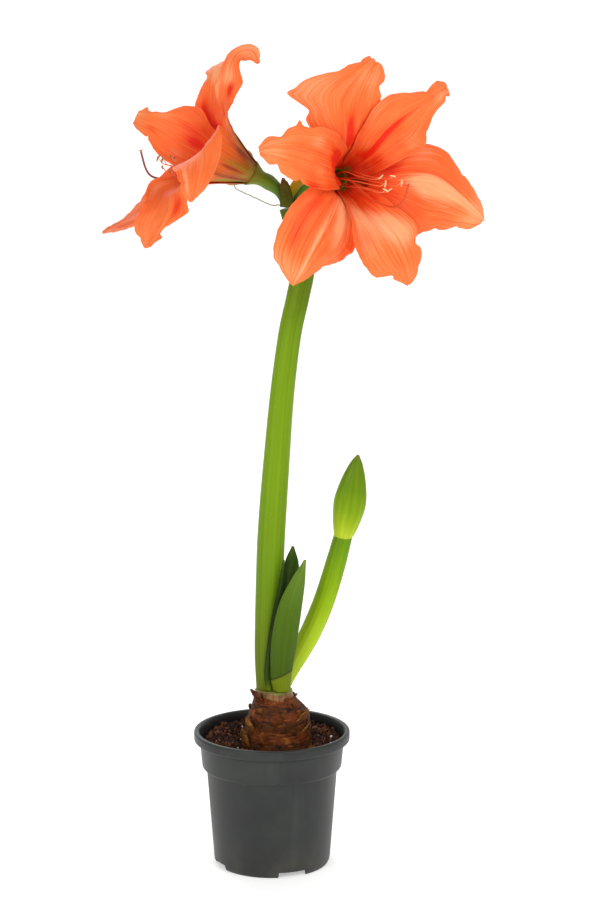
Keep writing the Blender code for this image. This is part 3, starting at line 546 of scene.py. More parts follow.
print("pot faces:", build_pot())

# %% [markdown]
# ## Scattering with Geometry Nodes
# Soil is thousands of crumbs. Placing them one by one in a loop would work, but a node tree
# does it in one pass and keeps its sizes as named inputs: points are strewn over a surface, a
# small shape is put on each with a random turn and size, and every copy gets a random tone that
# the material reads. The copies are then made real, because only plain meshes are exported.

# %% Tree that strews a shape over a surface
def strewing_tree():
    """Geometry Nodes tree: shape, number per square metre, sizes, seed and finish."""
    tree = bpy.data.node_groups.new("strew", "GeometryNodeTree")
    tree.interface.new_socket("Surface", in_out="INPUT", socket_type="NodeSocketGeometry")
    for name, kind in (("Shape", "NodeSocketObject"), ("Number", "NodeSocketFloat"),
                       ("Smallest", "NodeSocketFloat"), ("Largest", "NodeSocketFloat"),
                       ("Seed", "NodeSocketInt"), ("Finish", "NodeSocketMaterial")):
        tree.interface.new_socket(name, in_out="INPUT", socket_type=kind)
    tree.interface.new_socket("Crumbs", in_out="OUTPUT", socket_type="NodeSocketGeometry")
    entry = put(tree, "NodeGroupInput").outputs
    points = put(tree, "GeometryNodeDistributePointsOnFaces", None,
                 {"Mesh": entry["Surface"], "Density": entry["Number"], "Seed": entry["Seed"]})
    shape = put(tree, "GeometryNodeObjectInfo", None, {"Object": entry["Shape"]})
    size = put(tree, "FunctionNodeRandomValue", {"data_type": "FLOAT"},
               {2: entry["Smallest"], 3: entry["Largest"], "Seed": entry["Seed"]})
    spin = put(tree, "FunctionNodeRandomValue", {"data_type": "FLOAT_VECTOR"},
               {0: (0, 0, 0), 1: (math.tau,) * 3, "Seed": entry["Seed"]})
    tone = put(tree, "FunctionNodeRandomValue", {"data_type": "FLOAT"}, {"Seed": 7})
    laid = put(tree, "GeometryNodeInstanceOnPoints", None,
               {"Points": points.outputs["Points"], "Instance": shape.outputs["Geometry"],
                "Rotation": spin.outputs[0], "Scale": size.outputs[1]})
    toned = put(tree, "GeometryNodeStoreNamedAttribute",
                {"data_type": "FLOAT", "domain": "INSTANCE"},
                {"Geometry": laid.outputs[0], "Name": "tone", "Value": tone.outputs[1]})
    real = put(tree, "GeometryNodeRealizeInstances", None, {"Geometry": toned.outputs[0]})
    done = put(tree, "GeometryNodeSetMaterial", None,
               {"Geometry": real.outputs[0], "Material": entry["Finish"]})
    put(tree, "NodeGroupOutput", None, {0: done.outputs[0]})
    return tree


def strew(name, surface, tree, values):
    """Run the tree on a copy of a surface's mesh and keep what it makes as one plain piece."""
    obj = placed(name, surface)
    step = obj.modifiers.new("strew", "NODES")
    step.node_group = tree
    for item in tree.interface.items_tree:
        if item.in_out == "INPUT" and item.name in values:
            step[item.identifier] = values[item.name]
    applied(obj)
    declare(obj)


def chip(name, size, flat, jag, level):
    """A small lump to be strewn, size across; jag roughens it and level adds faces."""
    bm = bmesh.new()
    bmesh.ops.create_icosphere(bm, subdivisions=level, radius=0.5)
    for v in bm.verts:
        v.co *= 1 + jag * waver(*(v.co * 2.3 + Vector((size, flat, 0))))
        v.co = Vector((v.co.x * size, v.co.y * size * 0.75, v.co.z * size * flat)) * MM
    return placed(name, mesh_of(bm, name))


strewing = strewing_tree()
print("inputs:", [i.name for i in strewing.interface.items_tree if i.in_out == "INPUT"])

# %% [markdown]
# ## The bulb and its tunics
# An amaryllis bulb is made of fleshy scales, and its oldest ones dry to brown paper, the tunics,
# which split and stand off in rags round the neck. The core is a stack of rings on the profile
# of the solid. Each tunic is a thin sleeve round it whose top edge is torn by noise, so the
# layers overlap and cast small shadows. Loose flakes are single curled blades.

# %% Dry tunic, a papery skin
def dry_tunic(name, dark, middle, light):
    """Brown papery skin: fibres run upwards, blotches and worn pale threads between them, and
    creases painted dark in their hollows and pale on their ridges, as painted shade and painted
    highlight.
    """
    mat, tree = finish(name, {"Roughness": 0.62, "Specular IOR Level": 0.15})
    spot, place = read(tree, "blade")[0], read(tree, "place")[0]
    fibre = grain(tree, spot, 1, 4, (150, 3, 1), 0.6, 0.4)
    blotch = grain(tree, place, 110, 4)
    crease = grain(tree, place, 110, 3, (1, 1, 7))
    # The crease pattern is also the bump: its hollows get painted shade and its ridges a painted
    # highlight.
    skin = paint(tree, (blotch, (0.28, dark), (0.46, middle), (0.6, middle), (0.78, light)),
                 (dark, (fibre, 0.52, 0.7, 0, 0.6)), (light, (fibre, 0.42, 0.26, 0, 0.55)),
                 (dark, (crease, 0.48, 0.34, 0, 0.75)), (light, (crease, 0.58, 0.72, 0, 0.5)))
    dress(tree, skin, (blotch, 0.3, 0.7, 0.5, 0.8), (fibre, 0.3), (crease, 0.7))
    return mat


papers = (dry_tunic("dry_tunic_dark", "#1C0A02", "#4C260A", "#905A20"),
          dry_tunic("dry_tunic_red", "#2C1003", "#6A3210", "#A8682C"))
flaky = dry_tunic("dry_tunic_flake", "#3A1C06", "#86541C", "#CC9C54")
print("papers:", [m.name for m in (*papers, flaky)])

# %% Neck of the bulb, fleshy scales that turn brown downwards
def bulb_flesh():
    """Yellow-green scales at the neck and brown skin below, with fine rings between scales."""
    mat, tree = finish("bulb_flesh", {"Roughness": 0.5, "Subsurface Weight": 0.08,
                                      "Subsurface Scale": 0.002})
    place, _, _, height = read(tree, "place")
    blotch = grain(tree, place, 90, 4)
    fibre = grain(tree, place, 420, 3, (1, 1, 0.12))
    level = put(tree, "Math", {"operation": "MULTIPLY_ADD"},
                {0: blotch, 1: 0.012, 2: height}).outputs[0]
    green = paint(tree, (fibre, (0.3, "#5E641E"), (0.55, "#7C7C30"), (0.8, "#96904A")))
    skin = paint(tree, (fibre, (0.3, "#4A2408"), (0.5, "#7C4E1E"), (0.75, "#A4742E")),
                 (green, (level, 0.1405, 0.1435)))
    dress(tree, skin, None, (fibre, 0.3), (blotch, 0.4))
    return mat


flesh = bulb_flesh()
print("nodes that colour the neck:", len(flesh.node_tree.nodes))

# %% Profile of the bulb, its tunics and its loose flakes
BULB_TOP, SOIL_LEVEL = 137.0, 94.0
BULB_HEIGHTS = (19.5, 22, 27, 38, 56, 76, 90, 99, 108, 116, 122.5, 128.5, 133, BULB_TOP)
BULB_RADII = (2, 12, 20, 28, 32.5, 31, 27.5, 25.2, 23.8, 22.8, 20.4, 16.6, 15, 14.4)
BULB_LEANS = (0, 0, 0, 0.5, 1, 2.5, 4, 4.5, 5, 5.5, 5.2, 2.8, 1.6, 1.5)
# Bottom and top of each tunic, how far it stands off, and how far its rim flares
TUNICS = ((84, 100.5, 0.3, 1.7, 3.0), (93, 109, 0.5, 1.9, 3.4), (101, 116.5, 0.5, 2.0, 3.4),
          (108, 122.5, 0.4, 2.2, 3.6), (115, 127.5, 0.4, 1.8, 3.0), (121, 132, 0.35, 1.2, 2.4))
# Loose flakes: guide points and half widths
FLAKES = (
    (((-8, -13.5, 130), (-11.5, -14.5, 134), (-14.5, -14.5, 138), (-16.5, -14, 140.5)),
     (3, 3.8, 3, 0.6)),
    (((-15, -16, 108), (-18.5, -17, 114), (-19.5, -15.5, 120)), (3.4, 3.6, 0.6)),
    (((18, -16, 111), (22.5, -14.5, 117), (26.5, -12, 121.5), (29.3, -9, 123.5)), (5, 6, 4, 0.5)),
    (((22, -14, 104), (26.5, -14, 109), (29.5, -12, 114)), (4.4, 4, 0.7)),
    (((-18, -15, 94.5), (-21.5, -15.5, 100), (-23, -15, 106), (-22.5, -14, 110)), (3, 5, 4, 0.6)),
    (((6, -22, 112), (7, -24.5, 117), (8.5, -25, 122)), (6, 6.5, 1.0)),
    (((-4, -24, 98), (-5, -26.5, 103), (-4, -27, 108)), (7, 7, 1.0)),
    (((12, 14, 122), (16, 17, 127), (18, 21, 128)), (5, 5, 0.8)),
    (((-12, 16, 110), (-16, 19, 116), (-17, 22, 119)), (5, 5.5, 0.8)),
)
DARK_FLAKES = (0, 5, 6)
print("thickest part of the bulb:", 2 * max(BULB_RADII), "mm")

# %% Core, tunics and flakes of the bulb
def bulb_ring(z, gap, a):
    """Points of the core's surface at each height z and angle a, moved out by gap."""
    r = spline(BULB_RADII, heights_share(z))[:, 0].reshape(np.shape(z)) + gap
    lean = np.interp(z, BULB_HEIGHTS, BULB_LEANS)
    return np.stack([lean + r * np.cos(a), r * np.sin(a), z], axis=-1)


def heights_share(z):
    """Where along the bulb's profile a height is, from 0 to 1."""
    stations = np.linspace(0, 1, len(BULB_HEIGHTS))
    return np.interp(np.ravel(z), BULB_HEIGHTS, stations)


def hoop(outer, thick):
    """Points, faces and (round, along) of a sleeve: rings outside, then the same inside."""
    count, sides = outer.shape[:2]
    inward = unit((outer.mean(axis=1, keepdims=True) - outer) * (1, 1, 0))
    rings = np.concatenate([outer, (outer + thick * inward)[::-1]])
    levels = np.concatenate([np.linspace(0, 1, count), np.linspace(1, 0, count)])
    return rings.reshape(-1, 3), ring_faces(2 * count, sides, True), ring_map(levels, sides)


def build_bulb():
    """The core stands for the solid, with the tunics and flakes on top of it."""
    z = np.concatenate([np.linspace(19.6, 92, 30), np.linspace(93, BULB_TOP, 45)])[:, None]
    z, a = np.broadcast_arrays(z, circle(96)[None, :])
    wrinkle = 0.5 * wavering(3 * np.cos(a), 3 * np.sin(a), z / 3) * np.clip((z - 92) / 6, 0, 1)
    piece("bulb_core", stalk(bulb_ring(z, wrinkle - 0.2, a)), flesh, ("bulb",))
    for k, (low, high, gap, flare, rag) in enumerate(TUNICS):
        a = circle(150)
        x, y = np.cos(a), np.sin(a)
        tear = rag * (wavering(1.7 * x, 1.7 * y, 7.0 * k) + 0.7 * wavering(5 * x, 5 * y, 3.0 * k))
        tear += 0.9 * wavering(14 * x, 14 * y, 5.0 * k) - 1.6 * (wavering(3 * x, 3 * y, k) > 0.28)
        t = np.linspace(0, 1, 18)[:, None]
        z = low + t * (np.minimum(high + tear, BULB_TOP - 1.5) - low)
        curl = 0.6 * flare * t**2.4 * (0.7 + 0.9 * wavering(2.6 * x, 2.6 * y, 4.0 * k + 1))
        crease = 0.45 * wavering(7 * x + 0 * t, 7 * y + 0 * t, z / 5)
        body = bulb_ring(z, gap + curl + crease, np.broadcast_to(a, z.shape))
        piece(f"tunic_{k + 1}", hoop(body, 0.3), papers[k % 2])
    for k, (points, half) in enumerate(FLAKES):
        outward = unit(np.array(points[-1]) * (1, 1, 0))
        grid = strap(points, half, (30, 50, 60), (0, 18), 16, 9, np.cross((0, 0, 1), outward))
        grid += 0.5 * wavering(*(grid * 0.35 + k).transpose(2, 0, 1))[..., None]
        piece(f"tunic_flake_{k + 1}", blade(grid, 0.3), papers[1] if k in DARK_FLAKES else flaky)


def strap(points, half, cup, twist, rows, cols, side=(1, 0, 0)):
    """Grid of a strap-shaped blade: middle line, half widths, channel and twist in degrees."""
    u = even_steps(points, rows)
    path = spline(points, u)
    along = unit(np.gradient(path, axis=0))
    across = turn(beside(along, side), along, spline(twist, u)[:, 0])
    up = np.cross(along, across)
    v = np.linspace(-1, 1, cols)
    w = np.maximum(spline(half, u), 0.35)
    bend = np.radians(spline(cup, u))
    bend = np.where(np.abs(bend) < 0.02, 0.02, bend)
    x = w * np.sin(bend * v) / bend
    y = w * (1 - np.cos(bend * v)) / bend
    return path[:, None] + x[..., None] * across[:, None] + y[..., None] * up[:, None]


build_bulb()
print("bulb tunics:", len(TUNICS), "flakes:", len(FLAKES))

# %% [markdown]
# ## Potting soil
# Peat soil is dark red-brown, lumpy and full of fibres, with pale grains of perlite in it. The
# ground itself is one closed solid with a hollow for the bulb, roughened by noise. The crumbs,
# the bark and the perlite are strewn over a thin disc that follows its top.

# %% Damp peat, bark and perlite
def damp_peat(name, dark, middle, light, gloss=0.85):
    """Crumbly soil: each crumb has its own tone, and pores break it up."""
    mat, tree = finish(name, {"Roughness": gloss, "Specular IOR Level": 0.25})
    own = put(tree, "Attribute", {"attribute_name": "tone"}).outputs["Fac"]
    pore = grain(tree, read(tree, "place")[0], 380, 4, rough=0.7)
    both = put(tree, "Math", {"operation": "ADD"}, {0: own, 1: pore}).outputs[0]
    tone = amount(tree, both, 0.6)
    dress(tree, paint(tree, (tone, (0.15, dark), (0.45, middle), (0.9, light))), None, (pore, 0.6))
    return mat


peat = damp_peat("damp_peat", "#100503", "#280F08", "#481E10")
bark = damp_peat("bark_chip", "#1C0B06", "#44200F", "#7A4A2A", 0.75)
stone = damp_peat("perlite", "#B9AE9C", "#D8D0C0", "#EDE8DD", 0.9)
print("soil is made of:", [m.name for m in (peat, bark, stone)])

# %% Ground and what is strewn on it
# Heights in mm of the bank towards the back, of the lumps and of the grit on them
BANK, LUMPS, GRIT = 4.6, 1.6, 0.7
POCKET_GAP, WALL_GAP = 0.7, 0.6


def ground_height(x, y):
    """Lumpy top of the soil: the solid's own lumps, then finer ones."""
    lump = noise.fractal(Vector((x / 9, y / 9, 3.3)), 1.0, 2.0, 3)
    bank = min(max((math.hypot(x, y) - 27) / 20, 0.0), 1.0) * min(max(0.45 + y / 60, 0.0), 1.0)
    rough = noise.fractal(Vector((x / 2.6, y / 2.6, 8)), 1, 2, 3)
    return BANK * bank + SOIL_LEVEL + LUMPS * lump + GRIT * rough


def build_soil():
    """Closed ground with a pocket, and crumbs, bark and perlite on top."""
    sides = 120
    a = circle(sides)
    disc = np.stack([np.cos(a), np.sin(a), 0 * a], axis=1)
    rows = [disc * (pot_inner_radius(0) - 2) + (0, 0, FLOOR_Z + WALL + 0.35)]
    for z in (COLLAR_FOOT - 2, COLLAR_FOOT + 1.6):
        rows.append(disc * (pot_inner_radius(z) - WALL_GAP) + (0, 0, z))
    wall = disc * (pot_inner_radius(SOIL_LEVEL) - WALL_GAP)
    lip = bulb_ring(np.full(sides, SOIL_LEVEL - 3), POCKET_GAP, a) * (1, 1, 0)
    top = []
    for share in np.linspace(0, 1, 26):
        ring = wall * (1 - share) + lip * share
        ring[:, 2] = [ground_height(x, y) for x, y, _ in ring]
        ring[:, 2] -= 2.2 * max(0.0, 1 - share / 0.05) + 1.5 * max(0.0, (share - 0.94) / 0.06)
        top.append(ring)
    pocket = [bulb_ring(np.full(sides, z), POCKET_GAP, a) for z in (90, 76, 56, 38, 27, 22)]
    piece("soil_ground", stalk(np.array(rows + top + pocket)), peat, ("soil",))
    skin = bpy.data.meshes.new("soil_skin")
    sheet = np.array(top[1:-2])
    skin.from_pydata((sheet.reshape(-1, 3) * MM).tolist(), [], ring_faces(len(sheet), sides))
    # Name, its chip, number per square metre, smallest and largest copy, and finish
    for seed, (name, chipped, number, small, large, stuff) in enumerate((
            ("soil_crumbs", ("crumb", 1, 0.8, 0.5, 1), 950000, 0.45, 1.1, peat),
            ("soil_lumps", ("lump", 1, 0.7, 0.5, 2), 60000, 1.8, 3.6, peat),
            ("soil_bark", ("bark", 1, 0.35, 0.6, 2), 26000, 2.2, 5.0, bark),
            ("soil_fibres", ("fibre", 1, 0.1, 0.3, 1), 60000, 2.5, 6.5, bark),
            ("soil_perlite", ("grain", 1, 0.8, 0.5, 2), 5200, 1.0, 2.4, stone)), 1):
        shape = chip(*chipped)
        strew(name, skin, strewing, {"Shape": shape, "Number": number, "Seed": seed,
              "Smallest": small, "Largest": large, "Finish": stuff})
        bpy.data.objects.remove(shape, do_unlink=True)


build_soil()

# %% [markdown]
# ## Scapes, bud and leaves
# A scape is a smooth, waxy, slightly flattened stalk. It is swept along its guide curve: a ring
# of points is carried from station to station. Live green tissue is translucent and a little
# glossy, with fine lines along it, so the noise in its material is stretched along the stem.

# %% Waxy green tissue
# The yellow sheath at a leaf's foot ends in a slanting line: its height at x = 0, and its slope
SHEATH_HEIGHT, SHEATH_SLOPE = 0.1486, 0.465


def green_tissue(name, stops, stripes, gloss=0.42, speck=0.0, sheath=False):
    """Waxy skin: a base colour by height along the piece, fine parallel lines and specks."""
    mat, tree = finish(name, {
        "Roughness": gloss, "Subsurface Weight": 0.12, "Subsurface Scale": 0.002,
        "Subsurface Radius": (0.6, 1.0, 0.2), "Specular IOR Level": 0.14})
    spot, _, along, _ = read(tree, "blade")
    place, x, _, z = read(tree, "place")
    cloud = grain(tree, place, 40, 3)
    line = grain(tree, spot, 1, 3, (stripes, 1.6, 1), 0.5)
    layers = [("#2F5A12", (line, 0.3, 0.7, 0.2, 0.0), "MULTIPLY"),
              ("#C4DC58", (line, 0.5, 0.8, 0.0, 0.2), "SOFT_LIGHT")]
    if speck:
        layers.append(("#C6DA70", (grain(tree, place, 1300, 1), 0.7, 0.78, 0, speck)))
    if sheath:
        rise = put(tree, "Math", {"operation": "SUBTRACT"},
                   {0: z, 1: amount(tree, x, SHEATH_SLOPE)}).outputs[0]
        low, top = SHEATH_HEIGHT - 0.0016, SHEATH_HEIGHT
        layers += [("#707E0A", (rise, top, low)), ("#2A3604", (rise, low - 0.0008, low + 0.0002),
                    (rise, top + 0.0006, top - 0.0006), 0.8)]
    skin = paint(tree, (uneven(tree, along, cloud, 0.0, 1.0, 0.06), *stops), *layers)
    dress(tree, skin, (cloud, 0.3, 0.7, gloss - 0.06, gloss + 0.1), (line, 0.12))
    return mat


# Painted shade: the main scape's green is painted darker over its top, under the blooms.
main_green = green_tissue("scape_skin", (
    (0.0, "#6E7A08"), (0.06, "#647A04"), (0.25, "#70920A"), (0.5, "#799B0B"), (0.75, "#74980A"),
    (0.93, "#567406"), (1.0, "#465E04")), 34, speck=0.25)
young_green = green_tissue("young_scape_skin", (
    (0.0, "#C6DC38"), (0.3, "#B6D226"), (0.6, "#9ABE0E"), (0.85, "#779E06"), (1.0, "#668C04")),
    30, speck=0.2)
print("greens of the scapes:", [m.name for m in (main_green, young_green)])

# %% The two scapes
GAP = 0.35
MAIN_SCAPE = (
    (-2.2, 1, BULB_TOP + GAP), (-3, 1, 165), (-2.4, 1, 190), (-1.6, 1, 215), (-0.5, 1, 250),
    (1.6, 1, 285), (4.2, 0, 320), (7, 0, 355), (10.2, 0, 385), (14.5, 0, 415),
    (20, 0, 440), (24.2, 0, 462), (23, 1, 480), (18, 2, 495), (14.6, 2, 507),
)
MAIN_WIDE = (9.6, 10.0, 10.3, 10.5, 10.5, 10.3, 9.8, 9.2, 8.8, 8.6, 8.6, 8.6, 8.4, 8.2, 8.4)
SECOND_SCAPE = (
    (9.9, 7.6, BULB_TOP + GAP), (14.4, 10, 149), (21.8, 12.6, 163), (31.4, 16, 181),
    (40.6, 19, 203), (48.6, 21, 229), (54.8, 22, 252),
)
SECOND_WIDE = (4.4, 6.2, 7.6, 8.2, 8.2, 7.9, 7.2)


def build_scape(name, node, points, wide, flat, rings, mat):
    """Swept stalk with faint ribs, cut level where it meets the bulb and what it carries."""
    u = even_steps(points, rings)
    path = spline(points, u)
    half = spline(wide, u)[:, 0]
    a = circle(56)[None, :]
    z = path[:, 2:]
    ribs = 0.006 * np.cos(18 * a + 0.4 * np.sin(z / 40)) + 0.012 * np.cos(5 * a + z / 60)
    body = sweep(path, half, half * flat, 56, lobes=ribs)
    body[..., 2] = np.clip(body[..., 2], points[0][2] - 0.2, points[-1][2] + 0.2)
    piece(name, stalk(body), mat, (node,), sharp=60)


build_scape("scape_main_skin", "scape_main", MAIN_SCAPE, MAIN_WIDE, 0.82, 220, main_green)
build_scape("scape_second_skin", "scape_second", SECOND_SCAPE, SECOND_WIDE, 0.9, 90,
            young_green)
tell("scape_main_skin", "scape_second_skin")

# %% Bud, two valves closed over the young flowers
def build_bud():
    """Swept spindle with a groove where one valve laps over the other, and a drawn-out tip."""
    base = np.array(SECOND_SCAPE[-1]) + (0.1, 0, GAP)
    points = (base, base + (2.4, 0.5, 12), base + (5.2, 0.8, 27), base + (7.8, 1, 43),
              base + (9.9, 1, 56), base + (11.2, 1, 63.5))
    u = even_steps(points, 90)
    path = spline(points, u)
    wide = spline((7.4, 10.6, 12.4, 9.6, 5.2, 0.9), u)[:, 0]
    deep = spline((6.6, 8.6, 9.6, 7.2, 3.8, 0.8), u)[:, 0]
    a = circle(72)[None, :]
    seam = 1.35 * np.pi + 0.25 * (u[:, None] - 0.5)
    groove = -0.055 * np.exp(-((a - seam) / 0.07) ** 2)
    lap = 0.03 * np.exp(-np.clip(a - seam, 0, 9) / 0.5) * (a > seam)
    far = -0.045 * np.exp(-((a - 0.35 * np.pi) / 0.08) ** 2)
    ribs = 0.008 * np.cos(16 * a)
    body = sweep(path, wide, deep, 72, lobes=(groove + lap + far) * np.sin(np.pi * np.clip(
        u[:, None] * 1.05 + 0.05, 0, 1)) + ribs * (1 - u[:, None]))
    body[..., 2] = np.maximum(body[..., 2], base[2] - 0.2)
    body = np.concatenate([body[:1] - (0.4, 0.1, 1.0), body])
    skin = green_tissue("bud_skin", (
        (0.0, "#BCD030"), (0.14, "#A6BE1C"), (0.35, "#84A408"), (0.6, "#6C8E04"),
        (0.93, "#66820C"), (1.0, "#7E7E30")), 26, 0.4, 0.15)
    piece("bud_spathe_skin", stalk(body), skin, ("flower_bud",))


build_bud()
tell("bud_spathe_skin")

# %% Strap leaves
LEAVES = {
    "leaf_front": dict(
        points=((7.5, -10.8, BULB_TOP + GAP + 0.15), (7.4, -13.6, 152), (10, -16, 178),
                (14.6, -18.6, 205), (20.4, -20.4, 226), (25.6, -21.5, 243.5)),
        half=(7.2, 9.4, 10.6, 9.6, 6.0, 0.8), cup=(50, 54, 44, 40, 44, 50), twist=(0, 6, 10)),
    "leaf_back": dict(
        points=((10.3, -4.9, BULB_TOP + GAP), (9.8, -6, 155), (11.6, -9.2, 190),
                (13.6, -9.2, 220), (15, -8, 238), (16.2, -7, 251)),
        half=(4.2, 4.8, 7.0, 7.6, 6.0, 0.8), cup=(30, 34, 46, 54, 50, 40), twist=(0, -8, -12)),
    "leaf_side": dict(
        points=((-2.4, -8.9, BULB_TOP + GAP + 0.8), (-3.6, -9.2, 154), (1.2, -9.9, 188),
                (6.2, -11.8, 215), (9.4, -12.6, 241.5)),
        half=(2.0, 2.2, 2.6, 2.6, 0.7), cup=(20, 30, 40, 40, 40), twist=(0, 6, 10)),
}


def build_leaf(name, mat):
    """Channelled blade with a keel, parallel ridges and a thin margin."""
    rows, cols = 110, 31
    leaf = LEAVES[name]
    grid = strap(leaf["points"], leaf["half"], leaf["cup"], leaf["twist"], rows, cols)
    u = np.linspace(0, 1, rows)[:, None]
    v = np.linspace(-1, 1, cols)[None, :]
    ridge = 0.10 * np.cos(9 * np.pi * v) - 0.35 * np.exp(-(v / 0.12) ** 2)
    sway = 0.5 * wavering(2.5 * u + 0 * v, 1.2 * v + 0 * u, 5.0) * np.abs(v)
    grid = grid + ((ridge + sway) * np.clip(8 * u, 0, 1))[..., None] * normals(grid)
    grid[..., 2] = np.maximum(grid[..., 2], leaf["points"][0][2] - 0.2)
    thick = 1.5 * (1 - 0.45 * u) * (1 - 0.6 * v**2) + 0.15
    piece(name + "_blade", blade(grid, thick), mat, (name,))


leaf_mid = green_tissue("leaf_blade_front", (
    (0.0, "#6E7A08"), (0.06, "#546A04"), (0.16, "#445E02"), (0.6, "#4E6C08"), (0.9, "#648226"),
    (1.0, "#788E3C")), 22, 0.42, sheath=True)
# Painted shade: the two leaves that stand behind the front one get a much darker copy of the same
# green.
leaf_shaded_green = green_tissue("leaf_blade_back_shaded", (
    (0.0, "#6A7A0A"), (0.1, "#344A02"), (0.5, "#1E3200"), (0.9, "#2A4402"), (1.0, "#4A5C10")),
    22, 0.42)
for name in LEAVES:
    build_leaf(name, leaf_mid if name == "leaf_front" else leaf_shaded_green)
    tell(name + "_blade")

# %% [markdown]
# ## Dry bracts on top of the scape
# The spathe that wrapped the young flowers has opened, and its two dry valves stand behind and in
# front of the flower stalks. The front one is painted dark olive as painted shade, with its own
# brown at the tip, and the back one's fading yellow is painted bright as painted light. A
# thread-like bracteole hangs out beside them.

# %% Spathe valves and bracteole
VALVES = {
    "spathe_valve_front": dict(
        points=((11.6, -3.8, 507.35), (11.4, -6.8, 514), (10.6, -9, 522), (9.2, -9.8, 529.5)),
        half=(4.4, 5.0, 4.2, 0.9), cup=(34, 40, 40, 30), twist=(0, 0)),
    "spathe_valve_back": dict(
        points=((15.4, 7.4, 507.35), (16.4, 9.9, 514), (19.5, 12, 523), (23.5, 12.6, 532)),
        half=(4.2, 5.4, 4.4, 0.9), cup=(-34, -40, -40, -30), twist=(0, 0)),
}
BRACTEOLE = ((8.6, 6, 507.9), (5, 6.4, 508.2), (-0.2, 7, 508.2), (-12, 7.4, 513.6),
             (-25, 7.6, 519.6), (-27.2, 7.6, 523.5))


def build_bracts():
    """Two creased valves and one thin crinkled thread."""
    # Painted shade: the front valve is painted dark olive for the shade of the blooms; only its
    # brown tip is its own withering.
    front = green_tissue("withered_bract_painted_shade", (
        (0.0, "#4E5602"), (0.35, "#424802"), (0.7, "#4E4606"), (0.9, "#5A3C0E"), (1.0, "#6A4418")),
        16, 0.6)
    # Painted light: the back valve's fading yellow is painted brighter, standing in for the light
    # that falls on it.
    back = green_tissue("fading_bract_painted_light", (
        (0.0, "#A0AC18"), (0.35, "#B8B41E"), (0.7, "#D0A62A"), (0.9, "#C0822A"), (1.0, "#8A5A20")),
        16, 0.6)
    for name, valve in VALVES.items():
        grid = strap(**valve, rows=48, cols=21)
        grid[1:] += 0.35 * wavering(*(grid[1:] * 0.5).transpose(2, 0, 1))[..., None]
        grid[..., 2] = np.maximum(grid[..., 2], 507.2)
        skin = front if name.endswith("front") else back
        piece(name + "_skin", blade(grid, 0.6), skin, (name,))
    path = spline(BRACTEOLE, even_steps(BRACTEOLE, 70))
    path[1:-1] += 0.25 * np.stack([wavering(path[1:-1, 0] * 0.6, k) for k in (1.5, 2.5, 3.5)], 1)
    thin = np.full(70, 0.38)
    thread = green_tissue("dry_thread", ((0.0, "#8C8C7A"), (1.0, "#B8B8AC")), 4, 0.7)
    piece("bracteole_thread", stalk(sweep(path, thin, thin, 8, (0, 1, 0))), thread,
          ("bracteole",))


build_bracts()

# %% [markdown]
# ## The two blooms
# Each bloom has a frame of its own: its origin is the middle of the tube's mouth, its axis
# points out of the flower, and clock angles turn counter-clockwise for someone who looks into
# it. A tepal is drawn by stations from claw to tip, each saying how far out, ahead and sideways
# its midrib is, how wide the blade is on each side, and how it is cupped and twisted there.
# Modelling each tepal by hand would give a good single flower. Stations make it possible to
# change a whole bloom by its numbers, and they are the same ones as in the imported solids.

# %% Stations of the tepals
TUBE_MOUTH, TUBE_BORE, BORE_DEPTH, BORE_FOOT = 9.9, 6.6, 8.0, 5.6
TEPAL_THICK, TEPAL_ROWS, TEPAL_COLS = 0.7, 14, 8
CLAW_RADIUS, CLAW_HALF, CLAW_WRAP, WHORL_STEP = 8.5, 8.0, 54.0, 0.75
THROAT_OUT, THROAT_AHEAD, THROAT_HALF, THROAT_WRAP = 15, 14, 13, 52
CLEARANCE, REACH, SPREAD_STEPS = 1.35, 8.0, 32
WAVE_HEIGHT, WAVES = 1.2, 3
# Where the tube, anthers and style of each bloom are; the last two in the bloom's own frame
BLOOMS = {
    "left": {
        "origin": (-14.5, -8.0, 533.0), "yaw": -163.0, "pitch": 27.0, "roll": 28.0,
        "tube": ((10.4, 2, 507.35, 3.6), (9.6, 1.2, 513, 3.5), (5.8, -1, 519.6, 4.2),
                 (-0.9, -3.8, 525.6, 5.6), (-6.4, -5.5, 528.6, 5.4), (-10.6, -6.8, 530.9, 7.2),
                 (-14.5, -8, 533, TUBE_MOUTH)),
        "anthers": (58, -20, -13),
        "style": ((-7.4, 0, 0), (10, -0.5, 0), (20, -5, -2), (32, -14, -8), (40, -21, -11),
                  (48, -28, -13), (60, -34, -14), (69, -32, -13), (80, -21, -11))},
    "right": {
        "origin": (49.3, -35.0, 531.0), "yaw": -57.0, "pitch": 5.0, "roll": 14.0,
        "tube": ((18.6, 2, 507.35, 3.6), (20.6, 1, 514, 3.5), (26, -3, 521.6, 3.7),
                 (33.2, -10.4, 526.8, 4.6), (38.4, -18.2, 529.2, 5.6), (43, -25.5, 530.3, 5.4),
                 (46.3, -30.4, 530.8, 7.4), (49.3, -35, 531, TUBE_MOUTH)),
        "anthers": (62, -5, 2),
        "style": ((-7.4, 0, 0), (10, -0.5, 0), (20, -4, 0), (30, -11, 1.5), (43, -18, 4),
                  (61, -22, 6), (72, -17, 7), (78, -5, 8))},
}
